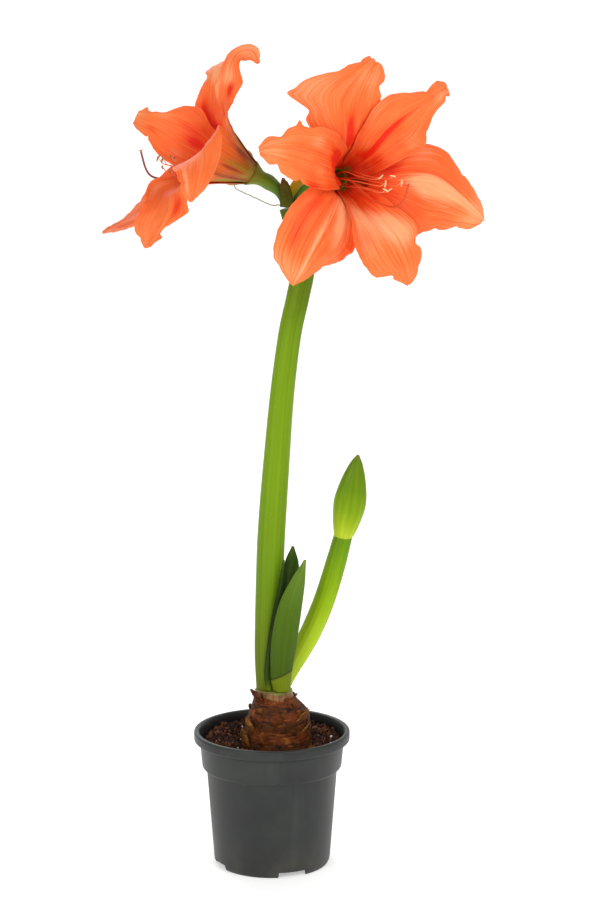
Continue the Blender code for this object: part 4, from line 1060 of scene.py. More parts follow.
# Each tepal: clock angle, lean of its cross lines, how far aside it passes the throat, then its
# stations (out, ahead, sideways, two half widths, cup, twist)
TEPALS = {
    "left_top": (90, 0, 0, ((22, 27, 0, 17, 17, 44, 0), (31, 37, 0, 19, 24, 30, 0),
        (42, 44, -2, 18, 22, 16, 8), (54, 49, -4, 16, 12, 4, 14), (65, 50, -6, 12, 13, 0, 16),
        (71, 48, -7, 5, 11, 0, 8))),
    "left_near_upper": (30, 0, 0, ((23, 28, 0, 16, 16, 42, 0), (35, 42, -1, 12, 14, 24, 8),
        (50, 50, 1, 10, 11, 10, 40), (62, 54, 5, 12, 9, 0, 58), (70, 57, 9, 5, 6, 0, 60),
        (75, 55, 14, 5, 5, 0, 60), (78, 49, 19, 7, 6, 0, 60), (77, 42, 22, 5, 5, 0, 60),
        (72, 36, 22, 1.5, 1.5, 0, 60))),
    "left_near_lower": (-30, 0.75, 0, ((21.5, 27, 0, 16, 15, 46, 0), (25.5, 39, 1, 13, 14, 42, 0),
        (29.5, 47, 0, 16, 16, 34, -8), (37, 52, -3, 20, 18, 22, -24), (48, 52, -9, 18, 16, 10, -42),
        (59, 51, -19, 13, 12, 0, -60), (66, 50, -30, 8, 7, 0, -70), (69, 50, -39, 1, 1, 0, -70))),
    "left_lower": (-90, 0.7, 0, ((21.5, 28, 0, 18, 16, 45, 0), (32, 42, 1, 28, 12, 53, 0),
        (46, 52, 0, 21, 11, 44, -10), (58, 53, -3, 19, 18, 24, -28), (67, 53, -8, 19, 17, 6, -33),
        (75, 51, -15, 14, 7, 0, -30), (83, 51, -22, 4, 3, 0, -20))),
    "left_far_lower": (-150, 0, 0, ((22, 28, 1, 18, 18, 42, 0), (32, 41, 4, 20, 21, 34, 0),
        (47, 50, 8, 19, 23, 20, 0), (64, 56, 10, 14, 18, 6, 0), (82, 64, 10, 7, 9, 0, 0),
        (96, 71, 8, 1.5, 1.5, 0, 0))),
    "left_far_upper": (150, 0, 0, ((21.5, 30, 0, 17, 18, 46, 0), (26, 45, 0, 23, 21, 40, 0),
        (32, 58, -1, 24, 20, 32, 0), (42, 70, -1, 16, 13, 22, 0), (53, 78, 0, 9, 9, 8, 0),
        (62, 82, 0, 5, 5, 0, 0))),
    "right_top": (90, 0, 1, ((22.5, 29, 4, 17, 18, 44, 0), (36, 38, 4, 18, 27, 24, -8),
        (53, 44, 0, 20, 46, 5, -20), (64, 45, -8, 18, 26, -5, -20),
        (72.5, 44, -19, 15, 12, -10, -10), (77, 41, -29, 7, 5, -10, 0))),
    "right_upper_left": (150, 0, -2, ((24, 28, -3, 17, 18, 42, 0), (42, 40, -3, 21, 22, 20, 0),
        (58, 46, -2, 21, 22, 5, 0), (74, 47, -1, 16, 18, -10, 0), (86, 42, 1, 9, 10, -20, 0),
        (92, 36, 4, 3, 3, -20, 0))),
    "right_lower_left": (-150, 0, -3, ((23, 27, -5, 18, 18, 40, 0), (38, 33.5, -6, 23, 28, 5, 0),
        (56, 37, -5, 26, 35, -25, 0), (74, 38, -1, 26, 24, -35, 0), (88, 35, 5, 19, 9, -30, 0),
        (96, 31, 8, 2, 2, -20, 0))),
    "right_bottom": (-90, 0, -2, ((22, 28, -4, 17, 17, 42, 0), (32, 40, -3, 24, 20, 20, 0),
        (47, 47, 1, 31, 24, 0, 0), (62, 48, 5, 26, 21, -12, 0), (74, 46, 8, 12, 16, -15, 0),
        (84, 42, 10, 3, 3, 0, 0))),
    "right_lower_right": (-30, 0, 0, ((23, 27, 3, 18, 18, 40, 0), (35, 37, 7, 32, 24, 10, 0),
        (52, 45, 9, 42, 27, -20, 0), (74, 46, 4, 30, 19, -30, 0), (94, 43, -2, 17, 11, -30, 0),
        (105, 40, -7, 4, 4, -20, 0))),
    "right_upper_right": (30, 0, 2, ((22, 29, 6, 17, 17, 44, 0), (31, 41, 10, 22, 22, 32, 0),
        (45, 49, 11, 26, 24, 20, 0), (67, 53, 7, 12, 10, 20, 0), (83, 52, 3, 8, 8, 10, 0),
        (91, 49, -2, 5, 5, 0, 0))),
}
print("stations of", len(TEPALS), "tepals:", sum(len(t[3]) for t in TEPALS.values()))

# %% Coarse blades, parted where the two whorls overlap
def bloom_frame(bloom):
    """Origin, right, up and axis of a bloom, as seen by someone who looks into it."""
    yaw, pitch = math.radians(bloom["yaw"]), math.radians(bloom["pitch"])
    axis = np.array([math.cos(yaw) * math.cos(pitch), math.sin(yaw) * math.cos(pitch),
                     math.sin(pitch)])
    right = unit(np.cross((0, 0, 1), axis))
    return np.array(bloom["origin"]), right, np.cross(axis, right), axis


def whorl(clock):
    """0 for an outer tepal and 1 for an inner one: they take turns round the clock."""
    return (clock - 90) // 60 % 2


def tepal_grid(bloom, tepal, rows, cols):
    """Grid of points of one tepal, rows from claw to tip and columns clockwise side first."""
    clock, lean, aside, stations = tepal
    origin, right, up, axis = bloom_frame(bloom)
    angle = math.radians(clock + bloom["roll"])
    out = right * math.cos(angle) + up * math.sin(angle)
    side = up * math.cos(angle) - right * math.sin(angle)
    claw = (CLAW_RADIUS, GAP + TEPAL_THICK / 2, 0, CLAW_HALF, CLAW_HALF, CLAW_WRAP, 0)
    throat = (THROAT_OUT, THROAT_AHEAD, aside, THROAT_HALF, THROAT_HALF, THROAT_WRAP, 0)
    table = np.array([claw, throat, *stations], float)
    table[:, 0] += WHORL_STEP * (-1 if whorl(clock) else 1)
    u = even_steps(table[:, :3], rows)
    row = spline(table, u)
    path = origin + row[:, :1] * out + row[:, 1:2] * axis + row[:, 2:3] * side
    along = unit(np.gradient(path, axis=0))
    across = turn(beside(along, side), along, row[:, 6])
    face = np.cross(along, across)
    across = across - lean * np.clip((u[:, None] - 0.1) / 0.3, 0, 1) * along
    v = np.linspace(-1, 1, cols)[None, :]
    half = np.maximum(np.where(v < 0, row[:, 3:4], row[:, 4:5]), 0.4)
    mean = np.maximum(row[:, 3:5].mean(axis=1, keepdims=True), 0.4)
    bend = np.radians(row[:, 5:6])
    bend = np.where(np.abs(bend) < 0.02, 0.02, bend) / mean
    x = np.sin(bend * half * v) / bend
    y = (1 - np.cos(bend * half * v)) / bend
    grow = np.clip((u[:, None] - 0.25) / 0.35, 0, 1) * np.clip((1 - u[:, None]) / 0.12, 0, 1)
    phase = (clock - 90) // 60 % 6
    ripple = np.sin(2 * np.pi * WAVES * u[:, None] + phase + 1.3 * v)
    y = y + WAVE_HEIGHT * grow * np.abs(v) ** 1.7 * ripple
    grid = path[:, None] + x[..., None] * across[:, None] + y[..., None] * face[:, None]
    grid[0] -= ((grid[0] - origin) @ axis - claw[1])[:, None] * axis
    return grid


def blade_tree(grid):
    """Search tree of a blade's middle surface."""
    rows, cols = grid.shape[:2]
    quads = [(i * cols + j, i * cols + j + 1, (i + 1) * cols + j + 1, (i + 1) * cols + j)
             for i in range(rows - 1) for j in range(cols - 1)]
    tris = [t for a, b, c, d in quads for t in ((a, c, b), (a, d, c))]
    return BVHTree.FromPolygons([Vector(p) for p in grid.reshape(-1, 3)], tris)


def push_off(grid, trees, facing):
    """How each point of a blade moves to clear the blades that it lies in front of or behind."""
    push = np.zeros(grid.shape)
    for i, j in np.ndindex(grid.shape[:2]):
        for tree in trees:
            spot, normal, _, far = tree.find_nearest(Vector(grid[i, j]), REACH)
            if spot is None:
                continue
            ahead = facing * (Vector(grid[i, j]) - spot).dot(normal)
            level = math.sqrt(max(0.0, far**2 - ahead**2))
            if ahead < CLEARANCE and level < CLEARANCE:
                push[i, j] += facing * (CLEARANCE - ahead) * np.array(normal)
    padded = np.pad(push, ((1, 1), (1, 1), (0, 0)), mode="edge")
    near = sum(padded[1 + di:1 + di + grid.shape[0], 1 + dj:1 + dj + grid.shape[1]]
               for di in (-1, 0, 1) for dj in (-1, 0, 1)) / 9
    size = np.linalg.norm(push, axis=2, keepdims=True)
    return np.where(size > np.linalg.norm(near, axis=2, keepdims=True), push, near)


def bloom_grids(side):
    """The six tepals of a bloom, moved apart where the two whorls overlap."""
    names = [n for n in TEPALS if n.startswith(side)]
    grids = {n: tepal_grid(BLOOMS[side], TEPALS[n], TEPAL_ROWS + 1, TEPAL_COLS + 1)
             for n in names}
    inner = {n: whorl(TEPALS[n][0]) for n in names}
    for _ in range(SPREAD_STEPS):
        trees = {n: blade_tree(grids[n]) for n in names}
        for n in names:
            others = [trees[m] for m in names if inner[m] != inner[n]]
            grids[n][1:] += 0.5 * push_off(grids[n], others, 1 if inner[n] else -1)[1:]
    return grids


coarse = {side: bloom_grids(side) for side in BLOOMS}
print("points of a coarse blade:", coarse["left"]["left_top"].shape[:2])

# %% [markdown]
# ## Finer tepals
# A coarse blade gives the form, and the finer one runs smoothly through the same points. A real
# tepal is never a smooth sheet: its midrib is a groove in front and a keel behind, the blade
# sags softly between its veins, and the margin is frilled and slightly uneven.

# %% Tears and folds of the tepals
# Small tears of a margin: side (-1 clockwise), place along it, its width and its depth in mm. A
# negative depth is a lobe that stands out.
NOTCHES = {
    "right_top": ((1, 0.49, 0.05, -6), (1, 0.572, 0.022, 7), (1, 0.62, 0.016, -7),
        (1, 0.76, 0.09, 5), (1, 0.9, 0.03, 2.5), (-1, 0.83, 0.05, 4.5)),
    "right_upper_right": ((-1, 0.66, 0.02, 1.5), (1, 0.8, 0.02, 2), (-1, 0.93, 0.02, 2)),
    "right_lower_right": ((1, 0.72, 0.012, 1.5), (1, 0.94, 0.04, -4), (-1, 0.86, 0.02, 2.5),
        (-1, 0.95, 0.03, -3), (-1, 0.72, 0.02, 1.5)),
    "right_bottom": ((1, 0.75, 0.04, 5), (-1, 0.86, 0.025, 4), (-1, 0.5, 0.06, -4.5),
        (1, 0.92, 0.02, 2)),
    "right_lower_left": ((1, 0.47, 0.06, -5), (1, 0.8, 0.02, 2.5), (-1, 0.93, 0.02, 2)),
    "right_upper_left": ((-1, 0.95, 0.03, -3), (1, 0.95, 0.03, -3), (-1, 0.86, 0.03, 3),
        (-1, 0.745, 0.02, -4), (1, 0.88, 0.02, 2.5), (1, 0.7, 0.02, 2.5), (-1, 0.66, 0.03, 2)),
    "left_top": ((-1, 0.8, 0.03, 2.5), (1, 0.92, 0.045, -8)),
    "left_near_upper": ((1, 0.6, 0.02, 2),),
    "left_near_lower": ((-1, 0.8, 0.02, 2),),
    "left_lower": ((1, 0.8, 0.03, -5), (1, 0.875, 0.03, 13), (1, 0.945, 0.025, -4),
        (-1, 0.6, 0.015, 1.5), (-1, 0.9, 0.02, 2)),
    "left_far_lower": ((-1, 0.7, 0.015, 1.5), (1, 0.8, 0.02, 1.5)),
    "left_far_upper": ((1, 0.8, 0.015, 1.5), (-1, 0.76, 0.12, 6), (-1, 0.5, 0.08, -5),
        (-1, 0.93, 0.03, -3)),
}
# Long folds of a blade: place across it, width, rise towards the inner face in mm, and its start
FOLDS = {
    "right_lower_right": ((0.04, 0.13, 1.9, 0.35),),
    "right_lower_left": ((0.06, 0.1, 1.5, 0.35),),
    "right_upper_right": ((0.03, 0.12, -1.3, 0.25),),
    "right_top": ((-0.12, 0.1, -1.2, 0.45), (0.35, 0.12, 0.8, 0.4)),
    "right_bottom": ((0.1, 0.1, 1.0, 0.3), (-0.45, 0.1, -0.8, 0.4)),
    "right_upper_left": ((-0.1, 0.1, 1.0, 0.4), (0.5, 0.1, -0.8, 0.4)),
    "left_near_lower": ((-0.3, 0.08, 1.3, 0.6),),
    "left_lower": ((0.25, 0.12, 1.4, 0.5), (-0.35, 0.12, -1.0, 0.5)),
    "left_near_upper": ((0.1, 0.1, -1.0, 0.4),),
}
print("tears:", sum(map(len, NOTCHES.values())), "folds:", sum(map(len, FOLDS.values())))

# %% Fine blade of one tepal
FINE_ROWS, FINE_COLS = 132, 57


def frill(u, side, seed):
    """Uneven frill of a margin, in millimetres, along one side of the blade."""
    wide = 0.9 * wavering(8 * u, side + seed, 0.5) + 0.6 * wavering(19 * u, side + seed, 4.5)
    return wide + 0.35 * wavering(47 * u, side + seed, 8.5)


def fine_tepal(grid, seed, notches, folds):
    """The coarse grid refined both ways, with midrib, soft sagging and a torn, frilled margin."""
    rows = spline(grid, np.linspace(0, 1, FINE_ROWS))
    spread = np.sin(np.linspace(-1, 1, FINE_COLS) * np.pi / 2) * 0.25
    spread += np.linspace(-1, 1, FINE_COLS) * 0.75
    fine = spline(rows.transpose(1, 0, 2), (spread + 1) / 2).transpose(1, 0, 2)
    normal = normals(fine)
    across = unit(np.gradient(fine, axis=1))
    u, v = np.broadcast_arrays(np.linspace(0, 1, FINE_ROWS)[:, None], spread[None, :])
    side, far = np.sign(v), np.abs(v)
    grow = np.clip((u - 0.15) / 0.25, 0, 1)
    rib = 0.55 * np.exp(-(v / 0.055) ** 2) * np.clip(1.15 - u, 0, 1) * np.clip(u / 0.1, 0, 1)
    pleat = 0.11 * np.cos(6.5 * np.pi * v) * grow * (1 - 0.5 * u)
    sag = 0.7 * wavering(5 * u, 2.4 * v, seed) + 0.3 * wavering(13 * u, 5 * v, seed)
    wave = 1.2 * frill(u, side * 2, seed) * grow * np.clip((far - 0.5) / 0.5, 0, 1) ** 2
    edge = 1.1 * frill(u + 0.3, side * 3, seed) * grow * np.clip((far - 0.6) / 0.4, 0, 1)
    for which, spot, width, depth in notches:
        edge = edge - depth * np.exp(-((u - spot) / width) ** 2) * np.where(
            side == which, np.clip((far - 0.45) / 0.55, 0, 1) ** 1.5, 0)
    for middle, width, rise, start in folds:
        sag = sag + rise * np.exp(-((v - middle) / width) ** 2) * np.clip((u - start) / 0.2, 0, 1)
    fine = fine + (pleat + sag * grow + wave - rib)[..., None] * normal
    fine = fine + (side * edge)[..., None] * across
    fine[0] -= 1.0 * unit(fine[1] - fine[0])
    thick = 0.5 * (1 - 0.45 * far**3) * (1.25 - 0.5 * u)
    return fine, thick, v, u


print("points of a fine blade:", (FINE_ROWS, FINE_COLS))

# %% Tepal tissue
def tepal_tissue():
    """Orange-red blade: fine parallel veins, lit cells, a red throat with an olive heart.

    Light passes through it, so it gets a little subsurface scattering. The back of the blade
    is paler, and towards the claw it turns orange-brown and then olive; near the claw its sides
    are painted dark red, which is painted shade between the tepals. Its pale and red washes carry
    painted highlights and painted shade besides the tepal's own colours.
    """
    mat, tree = finish("tepal_tissue", {
        "Roughness": 0.5, "Specular IOR Level": 0.2, "Subsurface Weight": 0.2,
        "Subsurface Scale": 0.002, "Subsurface Radius": (1.0, 0.3, 0.1)})
    spot, aside, along, _ = read(tree, "blade")
    place = read(tree, "place")[0]
    for how in ("SUBTRACT", "ABSOLUTE"):
        aside = put(tree, "Math", {"operation": how}, {0: aside, 1: 0.5}).outputs[0]
    inside, flush, pale = (
        put(tree, "Attribute", {"attribute_name": key}).outputs["Fac"]
        for key in ("inside", "flush", "pale"))
    vein = grain(tree, spot, 1, 4, (46, 1.7, 1), 0.6, 0.3)
    fine = grain(tree, spot, 1, 2, (150, 5, 1), 0.5)
    cloud = grain(tree, place, 34, 3)
    cell = grain(tree, place, 1500, 2)
    reach = uneven(tree, along, vein, 0.2, 0.8, 0.08)
    # The pale wash holds painted highlights besides pale tissue, and the red one painted shade
    # besides red streaks.
    pale_and_highlight = uneven(tree, pale, vein, 0.25, 0.75, 0.22)
    red_and_shade = uneven(tree, flush, vein, 0.3, 0.7, -0.18)
    body = paint(
        tree, (reach, (0.0, "#D02C08"), (0.12, "#DC380C"), (0.25, "#EA4810"), (0.42, "#F25A1C"),
               (0.65, "#F96A2A"), (0.85, "#FA7434"), (1.0, "#FC8244")),
        ("#FC8844", (cloud, 0.35, 0.7, 0, 0.35)), ("#FFAA76", (pale_and_highlight, 0.12, 0.95, 0, 0.9)),
        ("#FFA46C", (vein, 0.52, 0.72, 0, 0.26)), ("#E64A16", (vein, 0.47, 0.3, 0, 0.34)),
        ("#FFB084", (fine, 0.5, 0.75, 0, 0.25)), ("#DC4A1A", (fine, 0.45, 0.25, 0, 0.26)),
        ("#FC9060", (aside, 0.46, 0.5, 0, 0.12)),
        ("#F05016", (red_and_shade, 0.15, 0.55, 0, 0.7)), ("#E22204", (red_and_shade, 0.45, 0.95, 0, 0.95)),
        ("#C81E02", (fine, 0.52, 0.68), (reach, 0.5, 0.24), 0.7),
        ("#D42606", (reach, 0.26, 0.08), (pale, 0.2, 0.9, 0.75, 0.3)),
        ("#7E7A28", (along, 0.085, 0.03), (aside, 0.3, 0.02), 0.8))
    back = paint(
        tree, (reach, (0.0, "#7A780A"), (0.05, "#90780E"), (0.12, "#B4661A"), (0.22, "#D66820"),
               (0.4, "#F06C2A"), (1.0, "#FC8040")),
        ("#FF9A60", (vein, 0.5, 0.72, 0, 0.35)), ("#A8300A", (vein, 0.46, 0.28, 0, 0.5)),
        # The washes reach the back too, with their painted shade and highlights: dark red under the
        # red ones, olive under the pale ones.
        ("#962A04", (flush, 0.2, 0.9, 0, 0.85), (along, 0.36, 0.22)),
        ("#A89C34", (pale, 0.2, 0.9, 0, 0.8), (along, 0.5, 0.3)),
        ("#8E8A1C", (aside, 0.12, 0.02), (along, 0.42, 0.12), 0.6),
        # Painted shade: dark red on the back beside the margins near the claw, where the tepals
        # shade each other.
        ("#841A04", (aside, 0.28, 0.42), (along, 0.42, 0.1), (aside, 0.495, 0.44), 0.8))
    dress(tree, paint(tree, back, (body, inside)), (cell, 0.35, 0.65, 0.4, 0.6),
          (vein, 0.3), (fine, 0.12), (cell, 0.06))
    return mat


tissue = tepal_tissue()
print("nodes that colour a tepal:", len(tissue.node_tree.nodes))

# %% Pale and red washes, with painted light and shade
# Washes of each tepal: place along it (0 claw, 1 tip), place across (-1 clockwise margin, 1 the
# other), how far the wash spreads both ways, and its strength. Pale ones are whitish orange: the
# tepal's own pale zones, and painted highlights where folds and curled parts catch the light. Red
# ones flow out of the throat along the midrib as its red streaks, and are also painted shade on
# halves and patches that lie in shade.
PALE_AND_LIT = {
    "right_top": ((0.66, 0.75, 0.14, 0.45, 0.5), (0.85, -0.2, 0.12, 0.5, 0.5)),
    "right_upper_right": ((0.5, 0.85, 0.12, 0.25, 0.4), (0.53, -0.6, 0.12, 0.3, 0.4),
        (0.9, -0.3, 0.08, 0.6, 0.6)),
    "right_upper_left": ((0.92, 0.0, 0.12, 0.9, 0.5), (0.57, -0.5, 0.09, 0.3, 0.5),
        (0.5, 0.35, 0.08, 0.25, 0.35)),
    "right_lower_left": ((0.26, 0.48, 0.17, 0.33, 1.1), (0.5, 0.55, 0.18, 0.3, 0.6),
        (0.66, 0.08, 0.25, 0.07, 0.8), (0.9, -0.9, 0.15, 0.3, 0.5), (0.92, 0.0, 0.1, 0.5, 0.6)),
    "right_bottom": ((0.52, 0.2, 0.15, 0.5, 1.0), (0.38, -0.5, 0.12, 0.4, 0.9),
        (0.66, 0.5, 0.12, 0.4, 0.6), (0.6, -0.7, 0.1, 0.3, 0.4)),
    "right_lower_right": ((0.5, -0.08, 0.12, 0.24, 1.0), (0.7, -0.02, 0.28, 0.15, 1.0),
        (0.45, 0.75, 0.11, 0.3, 0.5), (0.92, 0.0, 0.1, 0.9, 0.7), (0.68, -0.25, 0.1, 0.2, 0.4)),
    "left_far_upper": ((0.74, -0.55, 0.08, 0.2, 0.4), (0.52, 0.6, 0.1, 0.3, 0.4),
        (0.98, -0.3, 0.06, 0.6, 0.5)),
    "left_top": ((0.86, 0.0, 0.1, 0.6, 1.0),),
    "left_near_upper": ((0.65, 0.1, 0.08, 0.5, 0.8), (0.54, 0.9, 0.1, 0.3, 0.8),
        (0.9, 0.3, 0.14, 0.9, 1.0)),
    "left_near_lower": ((0.8, -0.68, 0.2, 0.1, 0.9), (0.75, 0.1, 0.1, 0.2, 0.3)),
    "left_lower": ((0.14, 0.05, 0.13, 0.25, 1.0), (0.5, -0.8, 0.14, 0.2, 0.4),
        (0.82, -0.2, 0.1, 0.1, 0.4)),
    "left_far_lower": ((0.95, 0.0, 0.08, 0.9, 0.3),),
}
RED_AND_SHADED = {
    "right_top": ((0.42, 0.0, 0.16, 0.15, 1.3), (0.34, -0.35, 0.12, 0.25, 1.0),
        (0.34, 0.4, 0.11, 0.2, 0.8), (0.52, 0.95, 0.08, 0.2, 0.35)),
    "right_upper_right": ((0.36, 0.03, 0.17, 0.15, 1.1), (0.56, 0.02, 0.2, 0.07, 0.7),
        (0.22, 0.4, 0.08, 0.5, 0.8), (0.24, -0.6, 0.08, 0.5, 0.7)),
    "right_upper_left": ((0.35, -0.35, 0.1, 0.35, 0.9), (0.3, 0.0, 0.08, 0.6, 0.8),
        (0.58, 0.95, 0.09, 0.25, 0.8), (0.66, -0.1, 0.2, 0.08, 0.3), (0.4, 0.9, 0.1, 0.3, 0.5)),
    "right_lower_left": ((0.66, -0.13, 0.25, 0.09, 0.4), (0.58, -0.6, 0.22, 0.35, 0.4),
        (0.74, -0.5, 0.14, 0.2, 0.45), (0.42, -0.5, 0.14, 0.2, 0.4), (0.72, 0.35, 0.1, 0.12, 0.35)),
    "right_bottom": ((0.27, 0.65, 0.09, 0.3, 0.9), (0.16, 0.1, 0.07, 0.5, 0.6),
        (0.8, -0.1, 0.12, 0.5, 0.3)),
    "right_lower_right": ((0.28, 0.45, 0.09, 0.3, 0.9), (0.7, -0.6, 0.14, 0.2, 0.4),
        (0.6, 0.25, 0.22, 0.08, 0.5), (0.3, -0.5, 0.08, 0.3, 0.5), (0.14, 0.0, 0.06, 0.9, 0.6)),
    "left_far_upper": ((0.43, -0.08, 0.11, 0.25, 1.0), (0.8, 0.3, 0.1, 0.2, 0.5),
        (0.55, -0.4, 0.12, 0.14, 0.5), (0.4, -0.7, 0.1, 0.3, 0.6)),
    "left_top": ((0.55, 0.6, 0.13, 0.25, 1.0), (0.4, 0.4, 0.1, 0.5, 0.9)),
    "left_near_upper": ((0.57, -0.3, 0.05, 0.35, 1.0), (0.4, 0.3, 0.1, 0.4, 0.6)),
    "left_near_lower": ((0.56, -0.8, 0.08, 0.2, 0.4), (0.2, -0.26, 0.13, 0.1, 1.0),
        (0.16, 0.7, 0.12, 0.25, 0.8)),
    "left_lower": ((0.74, 0.6, 0.08, 0.25, 0.8), (0.84, 0.1, 0.06, 0.06, 0.5)),
    "left_far_lower": ((0.6, 0.0, 0.1, 0.5, 0.4), (0.85, 0.0, 0.2, 0.9, 0.35)),
}


def washed(patches, u, v):
    """How strong the washes are at each place along and across a tepal."""
    total = np.zeros(u.shape)
    for along, across, long_, wide, strength in patches:
        total += strength * np.exp(-((u - along) / long_) ** 2 - ((v - across) / wide) ** 2)
    return np.tile(np.clip(total, 0, 1.2).ravel(), 2)


print("washes:", sum(map(len, PALE_AND_LIT.values())), "pale and", sum(map(len, RED_AND_SHADED.values())), "red")

# %% Twelve fine tepals
def build_tepals(side, mat):
    """Six fine blades; each carries which face is the inner one and its washes, which hold painted
    light and shade as well as colour.
    """
    for k, (own, grid) in enumerate(coarse[side].items()):
        fine, thick, v, u = fine_tepal(grid, 3.7 * k + (11 if side == "left" else 0),
                                       NOTCHES.get(own, ()), FOLDS.get(own, ()))
        verts, faces, uv = blade(fine, thick)
        uv[:, 0] = np.tile((v.ravel() + 1) / 2, 2)
        name = own.replace("_", "_tepal_", 1)
        # Each blade carries its washes: pale tissue with painted highlights, and red streaks with
        # painted shade.
        piece(name + "_blade", (verts, faces, uv), mat, (name,),
              {"inside": np.arange(len(verts)) < len(verts) / 2,
               "pale": washed(PALE_AND_LIT[own], u, v), "flush": washed(RED_AND_SHADED[own], u, v)})


for side in BLOOMS:
    build_tepals(side, tissue)

# %% [markdown]
# ## Flower stalk, ovary and tube
# A short stalk lifts each bloom off the scape. It thickens into a three-lobed ovary and opens
# into the tube that the tepals stand on, all grown as one piece, so it is one sweep with a bore.

# %% Tubes
def tube_tissue():
    """Green stalk that turns olive and brownish orange towards the tepals."""
    mat, tree = finish("tube_tissue", {
        "Roughness": 0.46, "Subsurface Weight": 0.12, "Subsurface Scale": 0.002,
        "Subsurface Radius": (0.8, 0.8, 0.2), "Specular IOR Level": 0.22})
    spot, _, along, _ = read(tree, "blade")
    line = grain(tree, spot, 1, 3, (30, 1.5, 1), 0.5)
    level = uneven(tree, along, line, 0.2, 0.8, 0.06)
    skin = paint(
        tree, (level, (0.0, "#2E5404"), (0.35, "#3E6A04"), (0.6, "#58780A"), (0.8, "#6C7E08"),
               (1.0, "#7A760A")), ("#5E3410", (line, 0.45, 0.28, 0, 0.4)))
    dress(tree, skin, None, (line, 0.15))
    return mat


def build_tube(side, mat):
    """Stalk, ovary and hollow mouth; its lip reaches up into the claws of the tepals."""
    table = np.array(BLOOMS[side]["tube"], float)
    origin, right, up, axis = bloom_frame(BLOOMS[side])
    u = even_steps(table[:, :3], 90)
    row = spline(table, u)
    a = circle(60)[None, :]
    ovary = 0.09 * np.exp(-((row[:, 3:] - 5.6) / 0.8) ** 2) * np.cos(3 * a)
    ribs = 0.02 * np.cos(6 * a) * np.clip(u[:, None] * 3 - 2, 0, 1)
    rings = list(sweep(row[:, :3], row[:, 3], row[:, 3], 60, right, ovary + ribs))
    for ring in rings[:12]:
        ring[:, 2] = np.maximum(ring[:, 2], table[0, 2] - 0.2)
    wheel = np.cos(a.T) * right + np.sin(a.T) * up
    rings[-1] = origin + TUBE_MOUTH * wheel
    for radius, depth in ((TUBE_MOUTH - 0.7, -0.5), (TUBE_BORE + 0.5, -0.4), (TUBE_BORE, 0.3),
                          (TUBE_BORE - 0.4, 3), (BORE_FOOT, BORE_DEPTH)):
        rings.append(origin + radius * wheel - depth * axis)
    piece(f"{side}_tube_skin", stalk(np.array(rings)), mat, (f"{side}_tube",))


stalk_skin = tube_tissue()
for side in BLOOMS:
    build_tube(side, stalk_skin)
    tell(side + "_tube_skin")

# %% [markdown]
# ## Stamens and pistil
# Six filaments arch out of the throat, each with an anther that is hinged at its middle. They
# are swept from the same guide points as the solids. An anther is a small curved boat, split
# lengthwise where it sheds its pollen.

# %% Smooth filaments and styles, grainy anthers and stigmas
def filament_tissue(name, stops, pollen=False):
    """Smooth stalk coloured along its length, or the grainy skin of an anther or stigma."""
    mat, tree = finish(name, {"Roughness": 0.6, "Specular IOR Level": 0.1,
                              "Subsurface Weight": 0.15, "Subsurface Scale": 0.001})
    _, _, along, _ = read(tree, "blade")
    dust = grain(tree, read(tree, "place")[0], 2200, 2)
    skin = paint(tree, (along, *stops), ("#FFE9B8", (dust, 0.45, 0.7, 0, 0.4 if pollen else 0.08)))
    dress(tree, skin, None, (dust, 0.25 if pollen else 0.04))
    return mat


thread = filament_tissue("filament_tissue", (
    (0.0, "#B82C06"), (0.4, "#E0501C"), (0.8, "#F07440"), (1.0, "#F4A478")))
pad = filament_tissue("stigma_pad", ((0.0, "#C87858"), (1.0, "#E0B098")), True)
# The left bloom is the older one: its pollen and its style have turned brown
pollens = {
    "left": filament_tissue("anther_old", ((0.0, "#7A3C1C"), (1.0, "#B87850")), True),
    "right": filament_tissue("anther_pollen", ((0.0, "#E0C48C"), (1.0, "#F0DCB0")), True)}
styles = {
    "left": filament_tissue("style_old", ((0.0, "#B0300C"), (0.5, "#983C30"), (1.0, "#7A4448"))),
    "right": filament_tissue("style_tissue", (
        (0.0, "#C03008"), (0.5, "#D8481A"), (1.0, "#CC5028")))}
print("pollen:", [m.name for m in pollens.values()], "styles:", [m.name for m in styles.values()])

# %% Stamens
RING_IN, RING_OUT, RING_SIDES = 2.2, 5.0, 12


def joined(parts):
    """Points, faces and map of several closed shapes as one."""
    start = np.cumsum([0] + [len(verts) for verts, _, _ in parts])
    faces = [[i + k for i in face] for k, (_, f, _) in zip(start.tolist(), parts) for face in f]
    return np.concatenate([p[0] for p in parts]), faces, np.concatenate([p[2] for p in parts])


def anther(middle, along, up):
    """A curved boat 5.4 mm long, with a slit along it, balanced on its filament."""
    t = np.linspace(-1, 1, 15)[:, None]
    path = middle + 2.7 * t * along - 0.9 * t**2 * up
    size = 0.7 * np.sqrt(np.clip(1.02 - t[:, 0] ** 2, 0.02, 1))
    a = circle(12)[None, :]
    slit = sum(-0.35 * np.exp(-((a - side * np.pi) / 0.5) ** 2) for side in (0.5, 1.5))
    return stalk(sweep(path, size, size * 0.8, 12, up, slit))


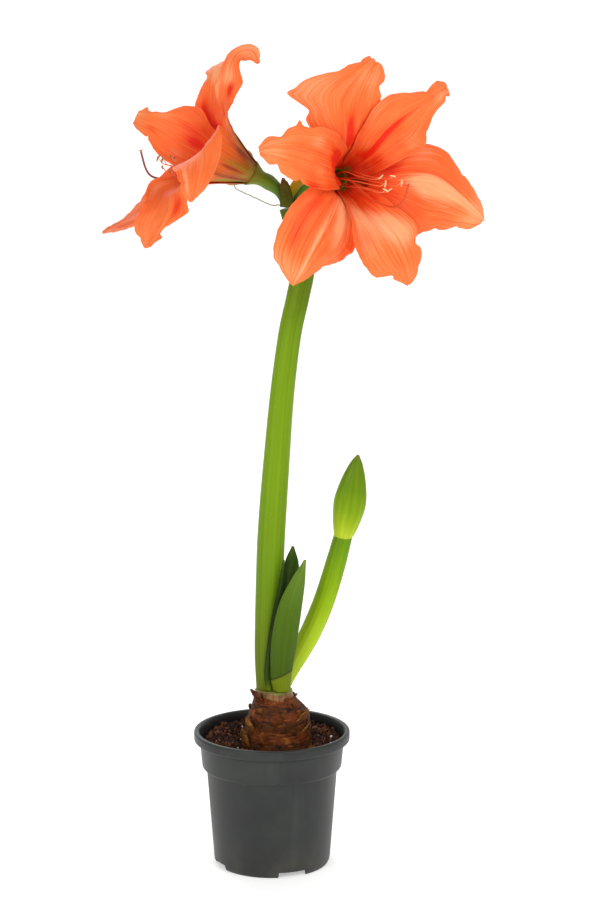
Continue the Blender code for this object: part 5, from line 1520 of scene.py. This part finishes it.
def build_stamens(side, skin, dust):
    """Ring, six filaments and six anthers, on the guide points of the solids."""
    origin, right, up, axis = bloom_frame(BLOOMS[side])
    reach, rise, shift = BLOOMS[side]["anthers"]
    a = circle(48)[:, None]
    wheel = np.cos(a) * right + np.sin(a) * up
    collar = [origin + r * wheel - d * axis for r, d in (
        (RING_IN, 10.0), (RING_OUT, 10.0), (RING_OUT - 0.2, 7.4), (RING_IN + 0.2, 7.4))]
    threads = [(np.concatenate(collar), ring_faces(4, 48, True), np.zeros((4 * 48, 2)))]
    boats = []
    for i in range(1, RING_SIDES, 2):
        angle = 2 * np.pi * (i + 1) / RING_SIDES
        ray = np.cos(angle) * right + np.sin(angle) * up
        start = origin + (RING_IN + RING_OUT) / 2 * ray - 7.6 * axis
        tip = origin + (reach + 5 * (i % 3 - 1)) * axis + (rise + 5.5 * np.sin(angle)) * up
        tip = tip + (shift + 7 * np.cos(angle)) * right
        guide = (start, start + 7 * axis, start + 22 * axis + 2.5 * ray + 0.12 * rise * up,
                 start * 0.42 + tip * 0.58 - 0.5 * up, tip - 8 * axis - 1.5 * up, tip)
        path = spline(guide, np.linspace(0, 1, 60))
        size = np.linspace(0.55, 0.32, 60)
        threads.append(stalk(sweep(path, size, size, 9, right)))
        lie = unit(np.cross(axis, ray) + 0.9 * waver(1.7 * i, 3.1) * ray)
        boats.append(anther(tip + 0.6 * unit(tip - path[-4]), lie, unit(axis + 0.3 * up)))
    piece(f"{side}_filaments", joined(threads), skin, (f"{side}_stamens",))
    piece(f"{side}_anthers", joined(boats), dust)


print("stamens in a bloom:", RING_SIDES // 2)

# %% Pistils
def build_pistil(side, mat, pad):
    """Arching style, and the stigma with its three short lobes."""
    origin, right, up, axis = bloom_frame(BLOOMS[side])
    ahead, above, aside = np.array(BLOOMS[side]["style"], float).T[..., None]
    points = origin + ahead * axis + above * up + aside * right
    path = spline(points, even_steps(points, 90))
    size = np.linspace(0.95, 0.72, 90)
    piece(f"{side}_style", stalk(sweep(path, size, size, 12, right)), mat,
          (f"{side}_pistil",))
    tip, way = path[-1], unit(path[-1] - path[-6])
    first = unit(np.cross(way, right))
    second = np.cross(way, first)
    t = np.linspace(0, 1, 12)[:, None]
    thin = 0.62 * (1 - 0.5 * t[:, 0])
    lobes = []
    for k in range(3):
        out = first * math.cos(2.1 * k) + second * math.sin(2.1 * k)
        arm = tip + way * (0.9 * t - 0.9 * t**2 - 0.4) + out * 1.9 * t
        lobes.append(stalk(sweep(arm, thin, thin, 8, way)))
    piece(f"{side}_stigma", joined(lobes), pad)


for side in BLOOMS:
    build_stamens(side, thread, pollens[side])
    build_pistil(side, styles[side], pad)
    tell(side + "_filaments", side + "_style")
